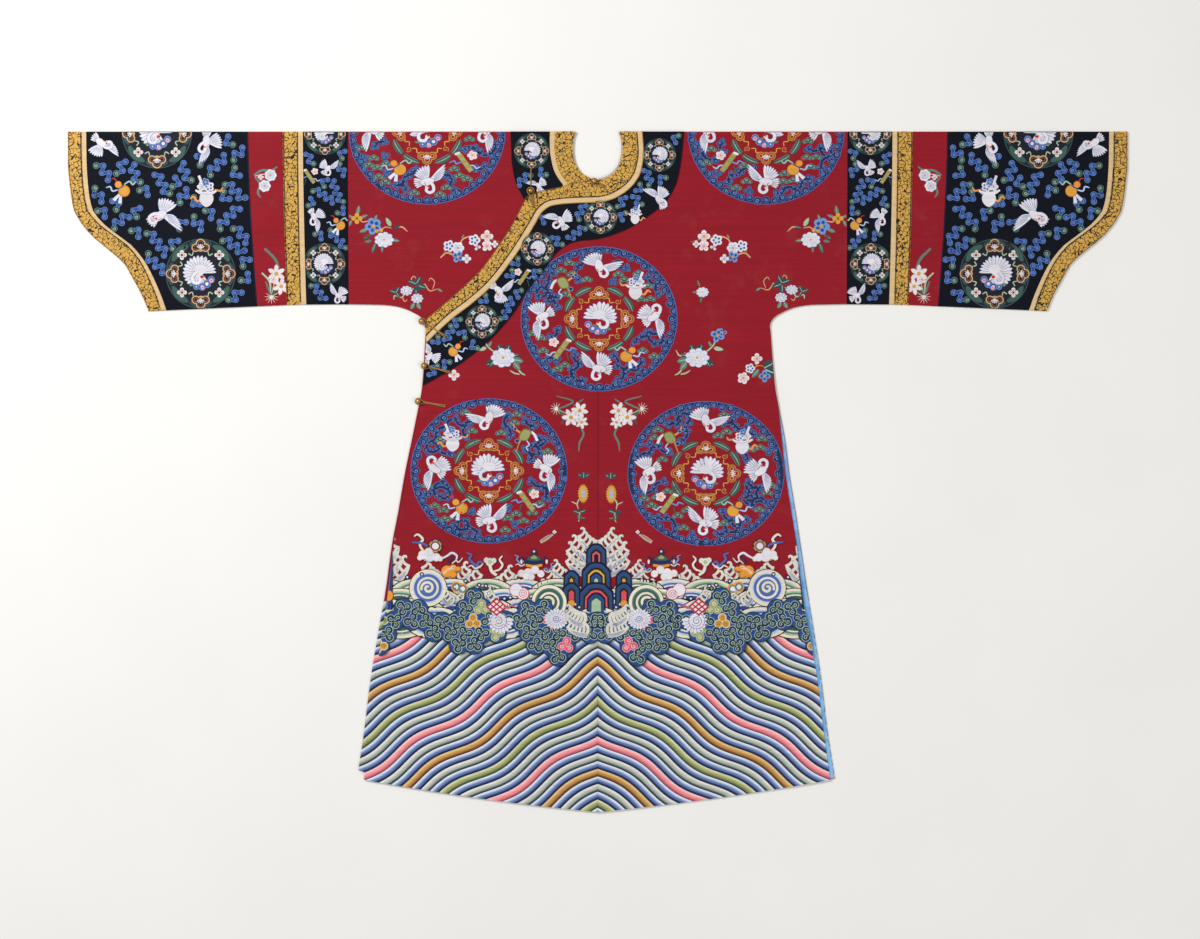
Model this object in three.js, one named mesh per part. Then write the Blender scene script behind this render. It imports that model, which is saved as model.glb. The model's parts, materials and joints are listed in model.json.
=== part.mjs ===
// A wide-sleeved Manchu court robe of crimson silk, laid flat with its front up. Units are millimetres.
// X runs across the robe, +Y towards the shoulders, +Z up from the surface that it lies on.
// "out" is a distance from the centre line and "down" a distance below the shoulder fold.
// Left and right are the wearer's: the wearer's right side lies at -X, and the outer front closes there.

import * as THREE from "three";

// Driving sizes
const SPAN = 2183.4; // cuff to cuff
const LENGTH = 1402; // shoulder fold to the lowest point of the hem
const WALL = 1.2; // silk and its lining, as one wall
const GAP = 0.3; // between pieces at a seam, and between layers that lie on each other
const HALF_WALL = WALL / 2;
const HALF_GAP = GAP / 2;
const LAYER = WALL + GAP;
const FOLD_RADIUS = LAYER / 2; // of the wall's middle, round a fold
const SHOULDER_Y = LENGTH / 2;
const BACK_LEVEL = HALF_WALL; // the wall's middle, layer by layer
const INNER_LEVEL = BACK_LEVEL + LAYER;
const OUTER_LEVEL = INNER_LEVEL + LAYER;

// Neck
const NECK_DEPTH = 100;
const NECK = [
  { down: 0, out: 44.7 },
  { down: 16.5, out: 50 },
  { down: 37, out: 51.3 },
  { down: 58, out: 48.4 },
  { down: 74, out: 42 },
  { down: 86.5, out: 31.5 },
  { down: 96, out: 16 },
  { down: NECK_DEPTH, out: 0 },
];

// Body: the outline below the arm on each side, and how far the front's own edge lies inside it
const ARM_DOWN = 408;
const CORNER_DOWN = 1334;
const HEM_RISE = LENGTH - CORNER_DOWN; // from the centre of the hem to its corner
const HEM_OUT = 489;
const HEM_SLOPE = 0.094;
const HEM_CURVE = 0.0000922;
const BODY = [
  { down: ARM_DOWN, right: 354, left: 356, rightInset: 1, leftInset: 0.5 },
  { down: 525, right: 362, left: 366, rightInset: 2, leftInset: 0.5 },
  { down: 567, right: 370, left: 374, rightInset: 3, leftInset: 1.5 },
  { down: 630, right: 383, left: 386, rightInset: 4, leftInset: 6.5 },
  { down: 700, right: 397.5, left: 395, rightInset: 4, leftInset: 8 },
  { down: 780, right: 411.5, left: 408, rightInset: 4, leftInset: 8.5 },
  { down: 840, right: 423, left: 417, rightInset: 4, leftInset: 7.5 },
  { down: 940, right: 437, left: 432, rightInset: 6, leftInset: 13 },
  { down: 1040, right: 454, left: 448, rightInset: 8, leftInset: 10 },
  { down: 1128, right: 468, left: 461, rightInset: 9, leftInset: 8 },
  { down: 1233, right: 481, left: 473.5, rightInset: 9, leftInset: 8 },
  { down: CORNER_DOWN, right: 493, left: 489, rightInset: 12, leftInset: 10 },
];
const ARM = [
  { down: 357, out: 440 },
  { down: 361.5, out: 409 },
  { down: 370.5, out: 385 },
  { down: 383, out: 364 },
  { down: 396, out: 355.5 },
];
const SLEEVE_ROOT_DOWN = 355.4;
const BACK_INSET = 2; // the right back lies this far inside the underlap's edge
const BACK_SHORT = 1; // the back hem is this much shorter than the front's
const UNDERLAP_TUCK = 16; // how much higher the underlap's hem lies at its corner
const BACK_TUCK = UNDERLAP_TUCK + BACK_SHORT;
const TUCK_FROM = 1240;
const TUCK_POWER = 4;
const UNDERLAP_INNER = 15; // the underlap's free edge, from the centre line

// The outer front's slanted upper edge, from the neck to the wearer's right side
const SLANT = [
  { down: 100.5, out: 3 },
  { down: 108, out: 46 },
  { down: 116.5, out: 78 },
  { down: 126, out: 123.5 },
  { down: 135, out: 143.5 },
  { down: 160, out: 158 },
  { down: 195, out: 176.5 },
  { down: 248, out: 211.5 },
  { down: 286, out: 240 },
  { down: 324, out: 279 },
  { down: 359, out: 318.5 },
  { down: 388, out: 353.5 },
];

// Side vent of the wearer's left, where the back's lining shows
const VENT_DOWN = 565;
const LINING_WALL = 1;
const LINING_WIDTH = 45;
const LINING_INSET = 1;
const LINING_LIFT = LINING_WALL + GAP; // how far the front lies higher on it
const LINING_LEVEL = WALL + GAP + LINING_WALL / 2;

// Sleeve seams: out at the shoulder fold and at the underarm seam
const SEAMS = {
  root: { top: 514.7, bottom: 513 },
  piping: { top: 607.4, bottom: 600.4 },
  gold: { top: 617.3, bottom: 610.7 },
  section: { top: 649, bottom: 640 },
  cuff: { top: 720, bottom: 701 },
};
const SEAM_CURVE = 1.6; // the seams bow a little towards the body
const UNDERSIDE = [
  { out: 513, down: 355.8 },
  { out: 606, down: 356.4 },
  { out: 701, down: 360 },
  { out: 925, down: 369.8 },
];
const CUFF_DOWN = 369.8;
const CUFF_EDGES = [
  { down: 0, edge: SPAN / 2, gold: 1063, piping: 1054 },
  { down: 63, edge: SPAN / 2, gold: 1062, piping: 1053 },
  { down: 121, edge: 1086.5, gold: 1058, piping: 1049 },
  { down: 160, edge: 1080, gold: 1050.5, piping: 1041 },
  { down: 186, edge: 1066, gold: 1031, piping: 1022 },
  { down: 211, edge: 1046, gold: 1000, piping: 992 },
  { down: 233, edge: 1021, gold: 970, piping: 962 },
  { down: 255, edge: 994, gold: 950, piping: 942.5 },
  { down: 273, edge: 975, gold: 938, piping: 930 },
  { down: 300, edge: 959.5, gold: 924.5, piping: 916 },
  { down: 323, edge: 946.5, gold: 914.5, piping: 906 },
  { down: 344, edge: 936, gold: 906.5, piping: 897.5 },
  { down: CUFF_DOWN, edge: 926, gold: 899, piping: 889 },
];

// Collar bands. Each edge runs from the shoulder fold beside the neck, round it, and down the slant.
const NECK_EDGE = [
  { x: 44.7, down: 0 },
  { x: 50, down: 16.5 },
  { x: 51.3, down: 37 },
  { x: 48.4, down: 58 },
  { x: 42, down: 74 },
  { x: 31.5, down: 86.5 },
  { x: 16, down: 96 },
  { x: 0, down: 100.2 },
  { x: -46, down: 108 },
  { x: -78, down: 116.5 },
  { x: -123.5, down: 126 },
  { x: -143.5, down: 135 },
  { x: -158, down: 160 },
  { x: -176.5, down: 195 },
  { x: -211.5, down: 248 },
  { x: -240, down: 286 },
  { x: -279, down: 324 },
  { x: -318.5, down: 359 },
  { x: -353.3, down: 388 },
];
const GOLD_EDGE = [
  { x: 81.5, down: 0 },
  { x: 84.5, down: 42 },
  { x: 79, down: 76 },
  { x: 69, down: 97 },
  { x: 47, down: 118 },
  { x: 20, down: 131.5 },
  { x: 0, down: 135.5 },
  { x: -34, down: 136.5 },
  { x: -65, down: 138 },
  { x: -100, down: 143.5 },
  { x: -123.5, down: 160 },
  { x: -138, down: 184.5 },
  { x: -162, down: 223.5 },
  { x: -191.5, down: 267 },
  { x: -226, down: 310 },
  { x: -265, down: 345 },
  { x: -308, down: 378 },
  { x: -337, down: 405 },
  { x: -353.3, down: 422 },
];
const PIPING_EDGE = [
  { x: 91, down: 0 },
  { x: 93.5, down: 42 },
  { x: 88.5, down: 80 },
  { x: 77, down: 103 },
  { x: 52.5, down: 126.5 },
  { x: 22.5, down: 141 },
  { x: 0, down: 145 },
  { x: -34, down: 146 },
  { x: -63, down: 147.5 },
  { x: -95, down: 152 },
  { x: -116, down: 166.5 },
  { x: -130, down: 190 },
  { x: -153.5, down: 229.5 },
  { x: -184, down: 273 },
  { x: -219, down: 317 },
  { x: -259, down: 353 },
  { x: -302, down: 386 },
  { x: -330, down: 411.5 },
  { x: -353, down: 434 },
];
const NAVY_EDGE = [
  { x: 178, down: 0 },
  { x: 173, down: 52.5 },
  { x: 163.5, down: 102 },
  { x: 143, down: 141 },
  { x: 105, down: 174 },
  { x: 56.5, down: 203 },
  { x: 3, down: 221 },
  { x: -46.5, down: 227.5 },
  { x: -70, down: 238 },
  { x: -90, down: 256.5 },
  { x: -114.5, down: 291.5 },
  { x: -139.5, down: 320.5 },
  { x: -170, down: 370 },
  { x: -202, down: 409 },
  { x: -238, down: 444 },
  { x: -289.5, down: 483 },
  { x: -360, down: 524 },
];
const COLLAR_SECTIONS = 32;

// The inner collar beside the neck, on the underlap. Its edges stop against the outer front's slanted edge.
const INNER_COLLAR = [
  { down: 0, neck: 44.7, gold: 88, piping: 98.5, navy: 179.5 },
  { down: 16.5, neck: 50, gold: 88.5, piping: 98.8, navy: 179 },
  { down: 37, neck: 51.3, gold: 88.9, piping: 98.5, navy: 178 },
  { down: 58, neck: 48.4, gold: 86, piping: 95.5, navy: 177.5 },
  { down: 74, neck: 42, gold: 82, piping: 92, navy: 175.5 },
  { down: 86.5, neck: 31.5, gold: 76.5, piping: 87, navy: 173.5 },
  { down: 96, neck: 17, gold: 71, piping: 81.5, navy: 171.5 },
  { down: 100.5, neck: 17, gold: 67.5, piping: 78.5, navy: 170.5 },
  { down: 104, neck: 26, gold: 64.5, piping: 76, navy: 169 },
  { down: 108, neck: 47, gold: 61.5, piping: 72.5, navy: 168 },
  { down: 111, neck: 57.5, gold: 60.5, piping: 71.5, navy: 167 },
  { down: 114.5, neck: 0, gold: 71.5, piping: 74.5, navy: 165.5 },
  { down: 116.5, neck: 0, gold: 0, piping: 80, navy: 164.5 },
  { down: 121, neck: 0, gold: 0, piping: 101.5, navy: 162 },
  { down: 126, neck: 0, gold: 0, piping: 125.5, navy: 159 },
  { down: 135, neck: 0, gold: 0, piping: 145.5, navy: 154.5 },
  { down: 139, neck: 0, gold: 0, piping: 148.5, navy: 152.5 },
];
const INNER_ENDS = { gold: 111, piping: 114.5, navy: 139 };

// Largest soft folds of the front, each a low ridge between two places
const FOLDS = [
  { fromX: -405, fromDown: 190, toX: -372, toDown: 300, height: 1.5, width: 16 },
  { fromX: 405, fromDown: 190, toX: 366, toDown: 340, height: 1.8, width: 22 },
  { fromX: 335, fromDown: 330, toX: 265, toDown: 540, height: 1.8, width: 30 },
  { fromX: -320, fromDown: 640, toX: -375, toDown: 1290, height: 2.4, width: 42 },
  { fromX: -150, fromDown: 660, toX: -185, toDown: 1330, height: 1.8, width: 40 },
  { fromX: 95, fromDown: 620, toX: 120, toDown: 1340, height: 1.8, width: 38 },
  { fromX: 270, fromDown: 600, toX: 300, toDown: 1290, height: 2.4, width: 42 },
  { fromX: -560, fromDown: 130, toX: -900, toDown: 250, height: 1.8, width: 34 },
  { fromX: 560, fromDown: 250, toX: 920, toDown: 140, height: 1.8, width: 34 },
];

// Buttons and loops
const BALL_RADIUS = 5.2;
const CORD_RADIUS = 1.4;
const STRAND_SPACING = 1.6; // each strand's distance from the loop's middle line
const BALL_SEGMENTS = { round: 9, high: 6 };
const STRANDS_MEET = 1.7; // from the ball's centre, as a share of the loop's radius
const CORD_SIDES = 8;
const SEAT = 0.3; // a button or cord lies this far off the cloth
const BUTTONS = [
  { name: "neck", x: -7, down: 103, toX: 14, toDown: 113, layers: 3 },
  { name: "chest", x: -138, down: 122.5, toX: -132, toDown: 156, layers: 2 },
  { name: "underarm", x: -361.5, down: 391, toX: -312, toDown: 423, layers: 3 },
  { name: "side", x: -356.5, down: 483, toX: -304, toDown: 496, layers: 3 },
  { name: "lower", x: -369, down: 556, toX: -313, toDown: 566, layers: 2 },
];
const STEM = { x: -138, down: 111.5, toX: -137, toDown: 73 };

const SILK = { color: 0xa31d30, roughness: 0.62, metalness: 0 };
const NAVY = { color: 0x10142a, roughness: 0.6, metalness: 0 };
const GOLD = { color: 0xcc9a3c, roughness: 0.5, metalness: 0.2 };
const CREAM = { color: 0xdbb98a, roughness: 0.6, metalness: 0 };
const LINING = { color: 0x7db4e3, roughness: 0.45, metalness: 0 };
const BRASS = { color: 0xb98a4a, roughness: 0.35, metalness: 0.9 };
const CORD = { color: 0x8a6534, roughness: 0.7, metalness: 0 };

const model = new THREE.Group();

// Small sums
const lerp = THREE.MathUtils.lerp;
const smooth = (value, low, high) => THREE.MathUtils.smoothstep(value, low, high);
const place = (x, down, z) => new THREE.Vector3(x, SHOULDER_Y - down, z);
const UP = new THREE.Vector3(0, 0, 1);
const UNDER = new THREE.Vector3(0, 0, -1);

function lookUp(table, key, column, value) {
  const next = table.findIndex((row) => row[key] >= value);
  if (next === 0) return table[0][column];
  if (next < 0) return table[table.length - 1][column];
  const [before, after] = [table[next - 1], table[next]];
  return lerp(before[column], after[column], (value - before[key]) / (after[key] - before[key]));
}

function relief(x, down) {
  let lift = 0;
  for (const fold of FOLDS) {
    const [dx, dy] = [fold.toX - fold.fromX, fold.toDown - fold.fromDown];
    const length = Math.hypot(dx, dy);
    const along = ((x - fold.fromX) * dx + (down - fold.fromDown) * dy) / length;
    const across = ((x - fold.fromX) * dy - (down - fold.fromDown) * dx) / length;
    const ends = smooth(along, 0, length / 3) * (1 - smooth(along, (length * 2) / 3, length));
    lift += fold.height * ends * Math.exp(-((across / fold.width) ** 2));
  }
  return lift;
}

// The middle of the left front's wall: level with the outer front along their seam, down on the back
// beside it, and up again on the lining along the vent
const SEAM_SLOPE = { from: 20, to: 170 };
const NECK_SLOPE = { from: 12, to: 94 };
const LINING_SLOPE = { from: 170, to: LINING_WIDTH + 8 };
const VENT_SLOPE = { from: 430, to: VENT_DOWN - 15 };
function leftFrontLevel(x, down) {
  const belowNeck = smooth(down, NECK_SLOPE.from, NECK_SLOPE.to);
  const beside = (1 - smooth(x, SEAM_SLOPE.from, SEAM_SLOPE.to)) * belowNeck;
  const edge = lookUp(BODY, "down", "left", down);
  const atEdge = smooth(x, edge - LINING_SLOPE.from, edge - LINING_SLOPE.to);
  const overLining = atEdge * smooth(down, VENT_SLOPE.from, VENT_SLOPE.to);
  return INNER_LEVEL + LAYER * beside + LINING_LIFT * overLining + relief(x, down);
}

const outerFrontLevel = (x, down) => OUTER_LEVEL + relief(x, down);
const frontLevel = (x, down) => (x > 0 ? leftFrontLevel(x, down) : outerFrontLevel(x, down));

// A row of the body bends down towards the centre, more and more until it is the curved hem
const hemRise = (out) => HEM_SLOPE * out + HEM_CURVE * out * out;
function rowDown(out, down) {
  const share = Math.max(0, (down - ARM_DOWN) / (CORNER_DOWN - ARM_DOWN));
  return down + HEM_RISE * share * (1 - hemRise(out) / hemRise(HEM_OUT));
}

function seamOut(seam, share) {
  return lerp(SEAMS[seam].top, SEAMS[seam].bottom, share ** SEAM_CURVE);
}

// A closed wall round a grid of places, each with the direction in which its outer face looks
function clothWall(grid, { halfWall = HALF_WALL, ring = false } = {}) {
  const rows = grid.length;
  const columns = grid[0].length;
  const positions = [];
  for (const side of [1, -1]) {
    for (const { point, normal } of grid.flat()) {
      positions.push(...point.clone().addScaledVector(normal, side * halfWall).toArray());
    }
  }
  const outer = (row, column) => (row % rows) * columns + column;
  const inner = (row, column) => outer(row, column) + rows * columns;
  const faces = [];
  const quad = (a, b, c, d) => faces.push(a, b, c, a, c, d);
  const rowSteps = ring ? rows : rows - 1;
  for (let row = 0; row < rowSteps; row += 1) {
    for (let column = 0; column < columns - 1; column += 1) {
      quad(outer(row, column), outer(row + 1, column), outer(row + 1, column + 1), outer(row, column + 1));
      quad(inner(row, column), inner(row, column + 1), inner(row + 1, column + 1), inner(row + 1, column));
    }
    const last = columns - 1;
    quad(outer(row, 0), inner(row, 0), inner(row + 1, 0), outer(row + 1, 0));
    quad(outer(row, last), outer(row + 1, last), inner(row + 1, last), inner(row, last));
  }
  if (!ring) {
    const end = rows - 1;
    for (let column = 0; column < columns - 1; column += 1) {
      quad(outer(0, column), outer(0, column + 1), inner(0, column + 1), inner(0, column));
      quad(outer(end, column), inner(end, column), inner(end, column + 1), outer(end, column + 1));
    }
  }
  return closedGeometry(positions, faces);
}

// Turns the faces out if the volume that they enclose comes out negative
function closedGeometry(positions, faces) {
  const corner = (index) => new THREE.Vector3().fromArray(positions, index * 3);
  let volume = 0;
  for (let face = 0; face < faces.length; face += 3) {
    const [a, b, c] = [corner(faces[face]), corner(faces[face + 1]), corner(faces[face + 2])];
    volume += a.dot(b.cross(c));
  }
  const geometry = new THREE.BufferGeometry();
  geometry.setAttribute("position", new THREE.Float32BufferAttribute(positions, 3));
  geometry.setIndex(volume < 0 ? faces.toReversed() : faces);
  return geometry;
}

function addPiece(name, geometry, finish) {
  geometry.computeVertexNormals();
  const mesh = new THREE.Mesh(geometry, new THREE.MeshStandardMaterial(finish));
  mesh.name = name;
  model.add(mesh);
}

// A fold round the wall's middle, from the back's underside, over the edge, to the front
const FOLD_ANGLES = [-90, -45, 0, 45, 90].map(THREE.MathUtils.degToRad);
const FOLD_CENTRE = FOLD_RADIUS + HALF_WALL;
function foldCell(x, edgeDown, towards, angle) {
  const down = edgeDown - towards * (FOLD_RADIUS * Math.cos(angle) - FOLD_CENTRE);
  const z = BACK_LEVEL + FOLD_RADIUS + FOLD_RADIUS * Math.sin(angle);
  const normal = new THREE.Vector3(0, towards * Math.cos(angle), Math.sin(angle));
  return { point: place(x, down, z), normal };
}

// Body halves: one length from the back hem, over the shoulder, to the front hem
const HALF_COLUMNS = 8;
const COLUMN_POWER = 1.25; // columns lie closer together near the centre line
const UPPER_DOWNS = [...NECK.slice(1).map((row) => row.down), 165, 230, 295, SLEEVE_ROOT_DOWN];

function halfRows({ outAt, cornerDown }) {
  const rootOut = (down) => seamOut("root", down / SLEEVE_ROOT_DOWN) - HALF_GAP;
  const upper = UPPER_DOWNS.map((down) => ({ down, out: rootOut(down) }));
  const lower = [...BODY.slice(0, -1).map((row) => row.down), cornerDown];
  return [...upper, ...ARM, ...lower.map((down) => ({ down, out: outAt(down) }))];
}

function halfRow({ down, out }, { side, innerOut, level, normal, hemTuck }) {
  const inner = Math.max(innerOut, lookUp(NECK, "down", "out", down));
  const tuck = hemTuck * smooth(down, TUCK_FROM, CORNER_DOWN - BACK_SHORT);
  return Array.from({ length: HALF_COLUMNS + 1 }, (_, column) => {
    const across = lerp(inner, out, (column / HALF_COLUMNS) ** COLUMN_POWER);
    const x = side * across;
    const rowAt = rowDown(across, down) - tuck * (across / HEM_OUT) ** TUCK_POWER;
    return { point: place(x, rowAt, level(x, rowAt)), normal };
  });
}

function bodyHalf({ side, back, front }) {
  const backRows = halfRows(back).map((row) => halfRow(row, { ...back, side, normal: UNDER }));
  const frontRows = halfRows(front).map((row) => halfRow(row, { ...front, side, normal: UP }));
  const foldRows = FOLD_ANGLES.map((angle) =>
    Array.from({ length: HALF_COLUMNS + 1 }, (_, column) => {
      const across = lerp(NECK[0].out, SEAMS.root.top - HALF_GAP, (column / HALF_COLUMNS) ** COLUMN_POWER);
      return foldCell(side * across, 0, 1, angle);
    }),
  );
  return clothWall([...backRows.toReversed(), ...foldRows, ...frontRows]);
}

const sideOut = (side) => (down) => lookUp(BODY, "down", side, down);
const frontOut = (side) => (down) => sideOut(side)(down) - lookUp(BODY, "down", `${side}Inset`, down);

function makeBody() {
  const backLevel = () => BACK_LEVEL;
  const leftHalf = bodyHalf({
    side: 1,
    back: {
      outAt: sideOut("left"),
      cornerDown: CORNER_DOWN - BACK_SHORT,
      innerOut: HALF_GAP,
      level: backLevel,
      hemTuck: 0,
    },
    front: {
      outAt: frontOut("left"),
      cornerDown: CORNER_DOWN,
      innerOut: HALF_GAP,
      level: leftFrontLevel,
      hemTuck: 0,
    },
  });
  addPiece("left_half_front_and_back", leftHalf, SILK);
  const underlapOut = sideOut("right");
  const rightHalf = bodyHalf({
    side: -1,
    back: {
      outAt: (down) => underlapOut(down) - BACK_INSET,
      cornerDown: CORNER_DOWN - BACK_SHORT,
      innerOut: HALF_GAP,
      level: backLevel,
      hemTuck: BACK_TUCK,
    },
    front: {
      outAt: underlapOut,
      cornerDown: CORNER_DOWN - BACK_SHORT,
      innerOut: UNDERLAP_INNER,
      level: (x, down) => INNER_LEVEL + (down < ARM_DOWN ? relief(x, down) : 0),
      hemTuck: UNDERLAP_TUCK,
    },
  });
  addPiece("right_half_back_and_underlap", rightHalf, SILK);
}

// The outer front hangs from the slanted edge and closes over the underlap
const FRONT_COLUMNS = 7;
function makeOuterFront() {
  const outAt = frontOut("right");
  const lower = BODY.map((row) => ({ down: row.down, out: outAt(row.down) }));
  const grid = [...SLANT, ...lower].map(({ down, out }) =>
    Array.from({ length: FRONT_COLUMNS + 1 }, (_, column) => {
      const across = lerp(HALF_GAP, out, column / FRONT_COLUMNS);
      const rowAt = rowDown(across, down);
      return { point: place(-across, rowAt, outerFrontLevel(-across, rowAt)), normal: UP };
    }),
  );
  addPiece("outer_front", clothWall(grid), SILK);
}

// A strip of the back's lining, which shows along the open vent
function makeVentLining() {
  const downs = [VENT_DOWN - 5, ...BODY.map((row) => row.down).filter((down) => down > VENT_DOWN + 10)];
  downs[downs.length - 1] = CORNER_DOWN - 2 * BACK_SHORT - LINING_INSET;
  const grid = downs.map((down) => {
    const edge = lookUp(BODY, "down", "left", down) - LINING_INSET;
    return [edge - LINING_WIDTH, edge - LINING_WIDTH / 2, edge].map((out) => ({
      point: place(out, rowDown(out, down), LINING_LEVEL),
      normal: UP,
    }));
  });
  addPiece("vent_lining", clothWall(grid, { halfWall: LINING_WALL / 2 }), LINING);
}

// Sleeve pieces: flattened tubes, from the shoulder fold down the front, round the underarm and up the back
const SLEEVE_SHARES = [0.06, 0.24, 0.42, 0.6, 0.78, 0.94];
const CUFF_SHARES = CUFF_EDGES.slice(1, -1).map((row) => row.down / CUFF_DOWN);

function sleeveTube(side, innerAt, outerAt, shares, columns) {
  const steps = Array.from({ length: columns + 1 }, (_, column) => column / columns);
  const outs = (share) => steps.map((step) => lerp(innerAt(share), outerAt(share), step));
  const flat = (share, level, normal) =>
    outs(share).map((out) => {
      const down = share * lookUp(UNDERSIDE, "out", "down", out);
      return { point: place(side * out, down, level(side * out, down)), normal };
    });
  const shoulder = FOLD_ANGLES.map((angle) => outs(0).map((out) => foldCell(side * out, 0, 1, angle)));
  const underarm = FOLD_ANGLES.toReversed().map((angle) =>
    outs(1).map((out) => foldCell(side * out, lookUp(UNDERSIDE, "out", "down", out), -1, angle)),
  );
  const front = shares.map((share) => flat(share, (x, down) => INNER_LEVEL + relief(x, down), UP));
  const back = shares.toReversed().map((share) => flat(share, () => BACK_LEVEL, UNDER));
  return clothWall([...shoulder, ...front, ...underarm, ...back], { ring: true });
}

function makeSleeve(side, word) {
  const seam = (name, shift) => (share) => seamOut(name, share) + shift;
  const cuff = (column, shift) => (share) =>
    lookUp(CUFF_EDGES, "down", column, share * CUFF_DOWN) + shift;
  const joined = (inner, outer) => ({ from: seam(inner, HALF_GAP), to: seam(outer, -HALF_GAP) });
  const cuffPiece = (inner, outer) => ({ from: cuff(inner, HALF_GAP), to: cuff(outer, -HALF_GAP) });
  const navyCuff = { from: seam("cuff", HALF_GAP), to: cuff("piping", -HALF_GAP) };
  const pieces = [
    { name: "sleeve_navy_band", ...joined("root", "piping"), finish: NAVY, columns: 2 },
    { name: "sleeve_piping", ...joined("piping", "gold"), finish: CREAM, columns: 1 },
    { name: "sleeve_gold_band", ...joined("gold", "section"), finish: GOLD, columns: 1 },
    { name: "sleeve_red_section", ...joined("section", "cuff"), finish: SILK, columns: 2 },
    { name: "cuff_navy", ...navyCuff, finish: NAVY, columns: 4 },
    { name: "cuff_piping", ...cuffPiece("piping", "gold"), finish: CREAM, columns: 1 },
    { name: "cuff_gold_border", ...cuffPiece("gold", "edge"), to: cuff("edge", 0), finish: GOLD, columns: 1 },
  ];
  for (const { name, from, to, finish, columns } of pieces) {
    const shares = name.startsWith("cuff") ? CUFF_SHARES : SLEEVE_SHARES;
    addPiece(`${word}_${name}`, sleeveTube(side, from, to, shares, columns), finish);
  }
}

// Collar bands, lofted between two edges and laid on the panels under them
function along(edge, sections) {
  const lengths = [0];
  for (let index = 1; index < edge.length; index += 1) {
    const [a, b] = [edge[index - 1], edge[index]];
    lengths.push(lengths[index - 1] + Math.hypot(b.x - a.x, b.down - a.down));
  }
  const rows = edge.map((row, index) => ({ ...row, run: lengths[index] / lengths.at(-1) }));
  return Array.from({ length: sections + 1 }, (_, section) => ({
    x: lookUp(rows, "run", "x", section / sections),
    down: lookUp(rows, "run", "down", section / sections),
  }));
}

function collarBand(name, firstEdge, secondEdge, columns, finish, firstGap) {
  const [first, second] = [along(firstEdge, COLLAR_SECTIONS), along(secondEdge, COLLAR_SECTIONS)];
  const grid = first.map((a, section) => {
    const b = second[section];
    const width = Math.hypot(b.x - a.x, b.down - a.down);
    return Array.from({ length: columns + 1 }, (_, column) => {
      const share = lerp(firstGap / width, 1 - HALF_GAP / width, column / columns);
      const [x, down] = [lerp(a.x, b.x, share), lerp(a.down, b.down, share)];
      return { point: place(x, down, frontLevel(x, down) + LAYER), normal: UP };
    });
  });
  addPiece(name, clothWall(grid), finish);
}

function innerCollar(name, innerColumn, outerColumn, columns, finish) {
  const end = INNER_ENDS[outerColumn];
  const firstGap = innerColumn === "neck" ? 0 : HALF_GAP;
  const grid = INNER_COLLAR.filter((row) => row.down <= end).map((row) =>
    Array.from({ length: columns + 1 }, (_, column) => {
      const out = lerp(row[innerColumn] + firstGap, row[outerColumn] - HALF_GAP, column / columns);
      return { point: place(-out, row.down, OUTER_LEVEL), normal: UP };
    }),
  );
  addPiece(name, clothWall(grid), finish);
}

function makeCollar() {
  collarBand("collar_gold_band", NECK_EDGE, GOLD_EDGE, 1, GOLD, 0);
  collarBand("collar_piping", GOLD_EDGE, PIPING_EDGE, 1, CREAM, HALF_GAP);
  collarBand("collar_navy_band", PIPING_EDGE, NAVY_EDGE, 3, NAVY, HALF_GAP);
  innerCollar("inner_collar_gold_band", "neck", "gold", 1, GOLD);
  innerCollar("inner_collar_piping", "gold", "piping", 1, CREAM);
  innerCollar("inner_collar_navy_band", "piping", "navy", 2, NAVY);
}

// A cord of round section along a level path, with a ring at each of its points. A ring's plane halves
// the angle between the two stretches that meet there, so every face of the cord is flat.
function cordAlong(points) {
  const last = points.length - 1;
  const leftOf = (from, to) => {
    const ahead = to.clone().sub(from).normalize();
    return new THREE.Vector3(-ahead.y, ahead.x, 0);
  };
  const rings = points.map((point, index) => {
    const before = leftOf(points[Math.max(0, index - 1)], points[Math.max(1, index)]);
    const after = leftOf(points[Math.min(last - 1, index)], points[Math.min(last, index + 1)]);
    const middle = before.clone().add(after).normalize();
    const reach = CORD_RADIUS / middle.dot(after);
    return Array.from({ length: CORD_SIDES }, (_, side) => {
      const angle = (side / CORD_SIDES) * Math.PI * 2;
      return point
        .clone()
        .addScaledVector(middle, reach * Math.cos(angle))
        .addScaledVector(UP, CORD_RADIUS * Math.sin(angle));
    });
  });
  const positions = rings.flat().flatMap((corner) => corner.toArray());
  const at = (ring, side) => ring * CORD_SIDES + (side % CORD_SIDES);
  const faces = [];
  for (let side = 0; side < CORD_SIDES; side += 1) {
    for (let ring = 0; ring < last; ring += 1) {
      faces.push(at(ring, side), at(ring + 1, side), at(ring + 1, side + 1));
      faces.push(at(ring, side), at(ring + 1, side + 1), at(ring, side + 1));
    }
    if (side > 0 && side < CORD_SIDES - 1) {
      faces.push(at(0, 0), at(0, side), at(0, side + 1));
      faces.push(at(last, 0), at(last, side + 1), at(last, side));
    }
  }
  return closedGeometry(positions, faces);
}

// A ball button with its loop: two strands from the sewn end to the ball and once round under it
const LOOP_HEIGHT = SEAT + CORD_RADIUS;
const CLEAR_OF_BALL = BALL_RADIUS + CORD_RADIUS + 0.75;
const TURN_STEPS = 12;
const TURN_FROM = 46; // degrees from the loop's middle line
const LOOP_TURN = Array.from({ length: TURN_STEPS + 1 }, (_, step) =>
  THREE.MathUtils.degToRad(lerp(TURN_FROM, 360 - TURN_FROM, step / TURN_STEPS)),
);

const clothTop = (layers) => layers * LAYER + WALL;

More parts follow.
